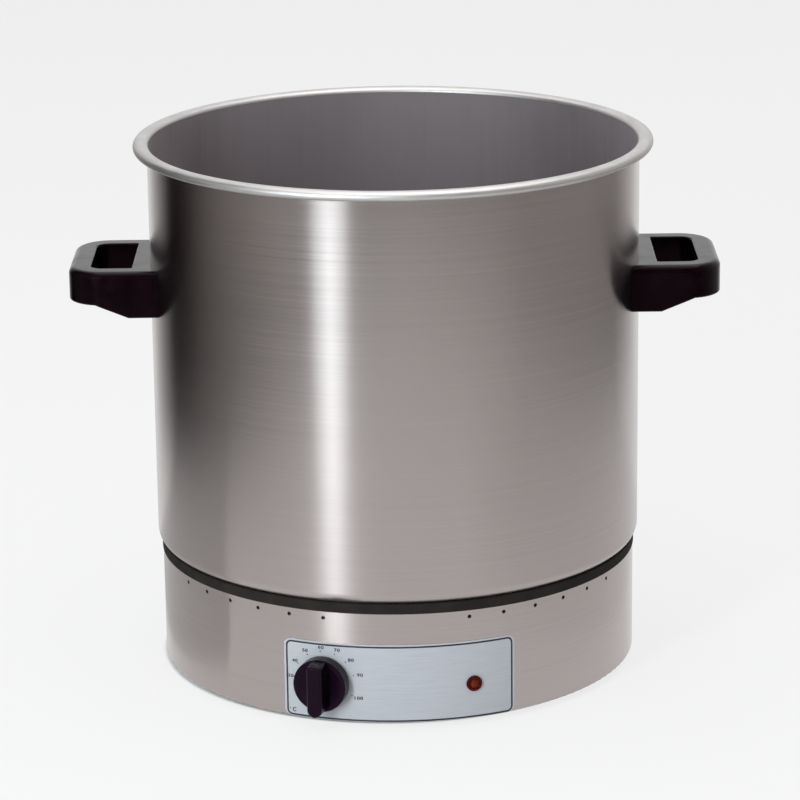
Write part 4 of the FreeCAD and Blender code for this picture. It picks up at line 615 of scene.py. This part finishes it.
def make_border(ink):
    """Thin line round the label, inside its edge."""
    bm = bmesh.new()
    low, high = LABEL_LOW + BORDER_FOOT_INSET, LABEL_HIGH - BORDER_TOP_INSET
    half_wide = LABEL_RADIUS * LABEL_HALF_ANGLE - BORDER_SIDE_INSET
    half_high = (high - low) / 2
    bmesh.ops.create_grid(bm, x_segments=1, y_segments=1, size=1.0)
    bmesh.ops.scale(bm, vec=(half_wide, half_high, 1), verts=bm.verts)
    bmesh.ops.bevel(
        bm,
        geom=bm.verts[:],
        offset=BORDER_CORNER,
        segments=BORDER_CORNER_STEPS,
        profile=0.5,
        affect="VERTICES",
        material=-1,
    )
    plate = next(iter(bm.faces))
    bmesh.ops.inset_region(
        bm, faces=[plate], thickness=BORDER_WIDTH, use_boundary=True, use_even_offset=True
    )
    bmesh.ops.delete(bm, geom=[plate], context="FACES_ONLY")
    for cut in range(1 - BORDER_CUTS, BORDER_CUTS):
        bmesh.ops.bisect_plane(
            bm,
            geom=bm.verts[:] + bm.edges[:] + bm.faces[:],
            plane_co=(cut * half_wide / BORDER_CUTS, 0, 0),
            plane_no=(1, 0, 0),
        )
    thickened(bm)
    bent_to_label(bm, 0, (low + high) / 2, PRINT_LIFT)
    return printed("label_border", bm, ink)


def add_mark(bm, text, spot, width, height):
    """Print a short bold text, stretched to a width and height, with its middle at a spot."""
    curve = bpy.data.curves.new("mark", "FONT")
    curve.body = text
    curve.size = 1.0
    curve.bevel_depth = NUMBER_BOLDNESS
    curve.bevel_resolution = 0
    curve.space_character = NUMBER_SPACING
    writer = bpy.data.objects.new("mark", curve)
    bpy.context.scene.collection.objects.link(writer)
    bpy.context.view_layer.update()
    drawn = bpy.data.meshes.new_from_object(writer)
    letters = bmesh.new()
    letters.from_mesh(drawn)
    bmesh.ops.remove_doubles(letters, verts=letters.verts, dist=NUMBER_MERGE)
    low = Vector([min(v.co[axis] for v in letters.verts) for axis in range(3)])
    high = Vector([max(v.co[axis] for v in letters.verts) for axis in range(3)])
    size = high - low
    bmesh.ops.translate(letters, vec=-(low + high) / 2, verts=letters.verts)
    stretch = (width / size.x, height / size.y, PRINT_DEPTH / size.z)
    bmesh.ops.scale(letters, vec=stretch, verts=letters.verts)
    bmesh.ops.translate(letters, vec=(*spot, PRINT_DEPTH / 2), verts=letters.verts)
    letters.to_mesh(drawn)
    letters.free()
    bm.from_mesh(drawn)
    bpy.data.objects.remove(writer)
    bpy.data.meshes.remove(drawn)
    bpy.data.curves.remove(curve)


def add_dot(bm, spot, radius):
    """Draw a round dot flat at a spot."""
    place = Matrix.Translation((*spot, 0))
    bmesh.ops.create_circle(bm, cap_ends=True, segments=DOT_SEGMENTS, radius=radius, matrix=place)


def round_dial(angle, distance):
    """Spot at a clockwise angle from the dial's top."""
    turn = math.radians(angle)
    return distance * math.sin(turn), distance * math.cos(turn)


def make_dial_print(ink):
    """The scale round the knob: a dot and a number at each mark, and the unit."""
    bm = bmesh.new()
    dots = [round_dial(dot_angle, DOT_CIRCLE) for _, dot_angle, _, _ in SCALE]
    for dot_spot in dots + [DEGREE_SPOT]:
        add_dot(bm, dot_spot, DOT_RADIUS)
    thickened(bm)
    for text, _, angle, distance in SCALE:
        add_mark(bm, text, round_dial(angle, distance * MM), NUMBER_WIDTHS[len(text)], NUMBER_HEIGHT)
    add_mark(bm, "C", UNIT_SPOT, *UNIT_SIZE)
    bent_to_label(bm, LABEL_RADIUS * DIAL_ANGLE, DIAL_HEIGHT, PRINT_LIFT)
    return printed("dial_print", bm, ink)


# ---------------------------------------------------------------- lamp
def make_lamp(finishes):
    """Lamp in the label: a dark collar and an amber dome."""
    bm = bmesh.new()
    wide, narrow, tall = LAMP_RADIUS, LAMP_JEWEL_RADIUS, LAMP_COLLAR_HEIGHT
    bend = LAMP_COLLAR_ROUND
    first = bm.verts.new((narrow, 0, 0))
    last = outline_line(bm, first, wide, 0)
    last = outline_line(bm, last, wide, tall - bend)
    last = outline_arc(bm, last, (wide - bend, tall - bend), -90, LAMP_COLLAR_STEPS)
    last = outline_line(bm, last, narrow + LAMP_LIP_WIDTH, tall)
    last = outline_line(bm, last, narrow, tall - LAMP_LIP_DEPTH)
    bm.edges.new((last, first))
    turned(bm, LAMP_SEGMENTS)
    collar_faces = len(bm.faces)
    dome = bmesh.new()
    curve = (narrow**2 + JEWEL_RISE**2) / (2 * JEWEL_RISE)
    span = math.degrees(math.asin(narrow / curve))
    first = dome.verts.new((0, 0, JEWEL_FOOT))
    last = outline_line(dome, first, narrow - JEWEL_GAP, JEWEL_FOOT)
    last = outline_line(dome, last, narrow - JEWEL_GAP, JEWEL_SHOULDER)
    last = outline_arc(dome, last, (0, JEWEL_SHOULDER + JEWEL_RISE - curve), -span, JEWEL_STEPS)
    turned(dome, LAMP_SEGMENTS)
    jewel = bpy.data.meshes.new("jewel")
    dome.to_mesh(jewel)
    dome.free()
    bm.from_mesh(jewel)
    bpy.data.meshes.remove(jewel)
    bm.faces.ensure_lookup_table()
    for face in bm.faces[collar_faces:]:
        face.material_index = JEWEL_FINISH
    bm.transform(dial_frame(LAMP_ANGLE, LAMP_HEIGHT))
    lamp = finished(
        "lamp_jewel", bm, [finishes["lamp_bezel"], finishes["lamp_amber"]], "melter"
    )
    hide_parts("lamp_lens")


# ---------------------------------------------------------------- stage
def background_glow(tree, shade):
    """Light Path share that is 1 where the background is looked at, directly or in a reflection."""
    path = add_node(tree, "ShaderNodeLightPath")
    first = combine(tree, "ADD", path.outputs["Is Camera Ray"], path.outputs["Is Glossy Ray"])
    both = combine(tree, "ADD", first, path.outputs["Is Transmission Ray"])
    return combine(tree, "MULTIPLY", combine(tree, "MINIMUM", both, 1.0), shade)


def shade_edge(tree):
    """0 on the floor well under the pot, where only its shade is seen, and 1 outside."""
    place = add_node(
        tree, "ShaderNodeVectorMath", {0: object_place(tree), 1: SHADE_CENTRE}, operation="DISTANCE"
    )
    return spread(tree, place.outputs["Value"], 0.0, 1.0, *SHADE_RADII)


def make_floor():
    """Pale floor, out past every view, that keeps a soft shadow."""
    material, tree, shader = new_finish(
        "floor_paint",
        Base_Color=colour(FLOOR_PAINT, FLOOR_PAINT, FLOOR_PAINT),
        Roughness=0.9,
        Specular_IOR_Level=0.1,
    )
    glow = add_node(
        tree, "ShaderNodeEmission", {"Color": colour(FLOOR_WHITE, FLOOR_WHITE, FLOOR_WHITE)}
    )
    share = combine(tree, "MULTIPLY", background_glow(tree, FLOOR_GLOW), shade_edge(tree))
    blend = add_node(
        tree, "ShaderNodeMixShader", {0: share, 1: shader.outputs[0], 2: glow.outputs[0]}
    )
    tree.links.new(blend.outputs[0], tree.nodes["Material Output"].inputs["Surface"])
    bm = bmesh.new()
    bmesh.ops.create_grid(bm, x_segments=1, y_segments=1, size=FLOOR_REACH)
    mesh = bpy.data.meshes.new("floor")
    bm.to_mesh(mesh)
    bm.free()
    mesh.materials.append(material)
    floor = bpy.data.objects.new("floor", mesh)
    bpy.context.scene.collection.objects.link(floor)


def glowing_material(name):
    """Material with an output and nothing else yet."""
    material = bpy.data.materials.new(name)
    material.use_nodes = True
    tree = material.node_tree
    tree.nodes.clear()
    output = add_node(tree, "ShaderNodeOutputMaterial")
    return material, tree, output.inputs["Surface"]


def make_screen():
    """Screen round the front, only seen in reflections: dark at its left, thinning at both ends."""
    material, tree, surface = glowing_material("screen_cloth")
    parts = add_node(tree, "ShaderNodeSeparateXYZ", {0: object_place(tree)})
    forward = combine(tree, "MULTIPLY", parts.outputs["Y"], -1.0)
    angle = combine(tree, "ARCTAN2", parts.outputs["X"], forward)
    half = math.radians(SHADES_END)
    share = spread(tree, angle, 0.0, 1.0, -half, half)
    ramp = add_node(tree, "ShaderNodeValToRGB", {"Fac": share})
    stops = ramp.color_ramp.elements
    while len(stops) < len(SCREEN_SHADES):
        stops.new(0.5)
    for stop, (degrees, red, green, blue) in zip(stops, SCREEN_SHADES):
        stop.position = (degrees + SHADES_END) / (2 * SHADES_END)
        stop.color = colour(red, green, blue)
    fade = spread(tree, parts.outputs["Z"], SCREEN_FOOT, 1.0, 0.0, SCREEN_FADE)
    glow = add_node(tree, "ShaderNodeEmission", {"Color": ramp.outputs["Color"], "Strength": fade})
    left = spread(tree, angle, 0.0, 1.0, math.radians(LEFT_ENDS), math.radians(LEFT_THINS))
    right = spread(tree, angle, 1.0, 0.0, math.radians(RIGHT_THINS), math.radians(RIGHT_ENDS))
    clear = add_node(tree, "ShaderNodeBsdfTransparent")
    woven = add_node(
        tree,
        "ShaderNodeMixShader",
        {0: combine(tree, "MULTIPLY", left, right), 1: clear.outputs[0], 2: glow.outputs[0]},
    )
    tree.links.new(woven.outputs[0], surface)
    bm = bmesh.new()
    start = math.radians(SCREEN_LEFT)
    outward = Vector((math.sin(start), -math.cos(start), 0))
    low = SCREEN_CENTRE + SCREEN_RADIUS * outward
    foot = bm.verts.new(low)
    top = bm.verts.new(low + UP * SCREEN_HEIGHT)
    edge = bm.edges.new((foot, top))
    bmesh.ops.spin(
        bm,
        geom=[foot, top, edge],
        cent=SCREEN_CENTRE,
        axis=(0, 0, 1),
        angle=math.radians(SCREEN_RIGHT - SCREEN_LEFT),
        steps=SCREEN_STEPS,
        use_merge=False,
        use_duplicate=False,
    )
    bmesh.ops.translate(bm, vec=-SCREEN_CENTRE, verts=bm.verts)
    bmesh.ops.scale(bm, vec=(SCREEN_NARROWING, 1, 1), verts=bm.verts)
    bmesh.ops.translate(bm, vec=SCREEN_CENTRE, verts=bm.verts)
    reflected_only("screen", bm, material)


def make_card(name, low_corner, high_corner, shade):
    """Grey card just above the floor beside the pot, that only reflections see."""
    material, tree, surface = glowing_material("grey_card")
    glow = add_node(tree, "ShaderNodeEmission", {"Color": colour(shade, shade, shade)})
    tree.links.new(glow.outputs[0], surface)
    low, high = Vector((*low_corner, 0)), Vector((*high_corner, 0))
    bm = bmesh.new()
    bmesh.ops.create_grid(bm, x_segments=1, y_segments=1, size=0.5)
    bmesh.ops.scale(bm, vec=(*(high - low).xy, 1), verts=bm.verts)
    bmesh.ops.translate(bm, vec=(low + high) / 2 + UP * CARD_LIFT, verts=bm.verts)
    reflected_only(name, bm, material)


def reflected_only(name, bm, material):
    """Stage piece that shows in reflections and nowhere else."""
    mesh = bpy.data.meshes.new(name)
    bm.to_mesh(mesh)
    bm.free()
    mesh.materials.append(material)
    piece = bpy.data.objects.new(name, mesh)
    bpy.context.scene.collection.objects.link(piece)
    piece.visible_camera = False
    piece.visible_diffuse = False
    piece.visible_shadow = False
    piece.visible_transmission = False


def make_light(name, place, target, size, power, shade=(1, 1, 1)):
    """Soft rectangular light aimed at a point."""
    light = bpy.data.lights.new(name, "AREA")
    light.shape = "RECTANGLE"
    light.size, light.size_y = size
    light.energy = power
    light.color = shade
    lamp = bpy.data.objects.new(name, light)
    bpy.context.scene.collection.objects.link(lamp)
    lamp.location = place
    lamp.rotation_euler = (Vector(target) - Vector(place)).to_track_quat("-Z", "Y").to_euler()
    lamp.visible_camera = False


def make_lights():
    """One tall strip for the bright line in the steel, a wide light overhead and pale walls."""
    make_light("strip_light", STRIP_PLACE, STRIP_TARGET, STRIP_SIZE, STRIP_POWER, STRIP_SHADE)
    make_light("overhead_light", CEILING_PLACE, CEILING_TARGET, CEILING_SIZE, CEILING_POWER)
    world = bpy.data.worlds.new("studio_walls")
    world.use_nodes = True
    tree = world.node_tree
    plain = tree.nodes["Background"]
    plain.inputs["Color"].default_value = colour(WALL_PAINT, WALL_PAINT, WALL_PAINT)
    plain.inputs["Strength"].default_value = WALL_LIGHT
    bright = add_node(
        tree,
        "ShaderNodeBackground",
        {"Color": colour(WALL_WHITE, WALL_WHITE, WALL_WHITE), "Strength": 1.0},
    )
    blend = add_node(
        tree,
        "ShaderNodeMixShader",
        {0: background_glow(tree, 1.0), 1: plain.outputs[0], 2: bright.outputs[0]},
    )
    tree.links.new(blend.outputs[0], tree.nodes["World Output"].inputs["Surface"])
    bpy.context.scene.world = world


def make_camera():
    """Long lens in front of the dial, a little above the rim's level."""
    camera = bpy.data.cameras.new("camera")
    camera.lens = CAMERA_LENS
    camera.sensor_width = CAMERA_SENSOR
    camera.clip_end = CAMERA_REACH
    eye = bpy.data.objects.new("camera", camera)
    bpy.context.scene.collection.objects.link(eye)
    back = Vector((0, -math.cos(CAMERA_RISE), math.sin(CAMERA_RISE)))
    right = Vector((1, 0, 0))
    up = back.cross(right)
    cosine, sine = math.cos(CAMERA_ROLL), math.sin(CAMERA_ROLL)
    columns = Matrix((cosine * right - sine * up, sine * right + cosine * up, back)).transposed()
    eye.matrix_world = Matrix.Translation(CAMERA_TARGET + back * CAMERA_DISTANCE) @ columns.to_4x4()
    bpy.context.scene.camera = eye


def main():
    finishes = make_finishes()
    dress_frame(finishes)
    make_pot(finishes)
    ink = printing_ink("label_ink", colour(0.005, 0.005, 0.010), colour(0.014, 0.014, 0.022))
    make_border(ink)
    make_dial_print(ink)
    make_lamp(finishes)
    make_floor()
    make_screen()
    make_card("left_card", *LEFT_CARD)
    make_card("right_card", *RIGHT_CARD)
    make_lights()
    make_camera()
    bpy.context.scene.view_settings.view_transform = "Standard"


main()
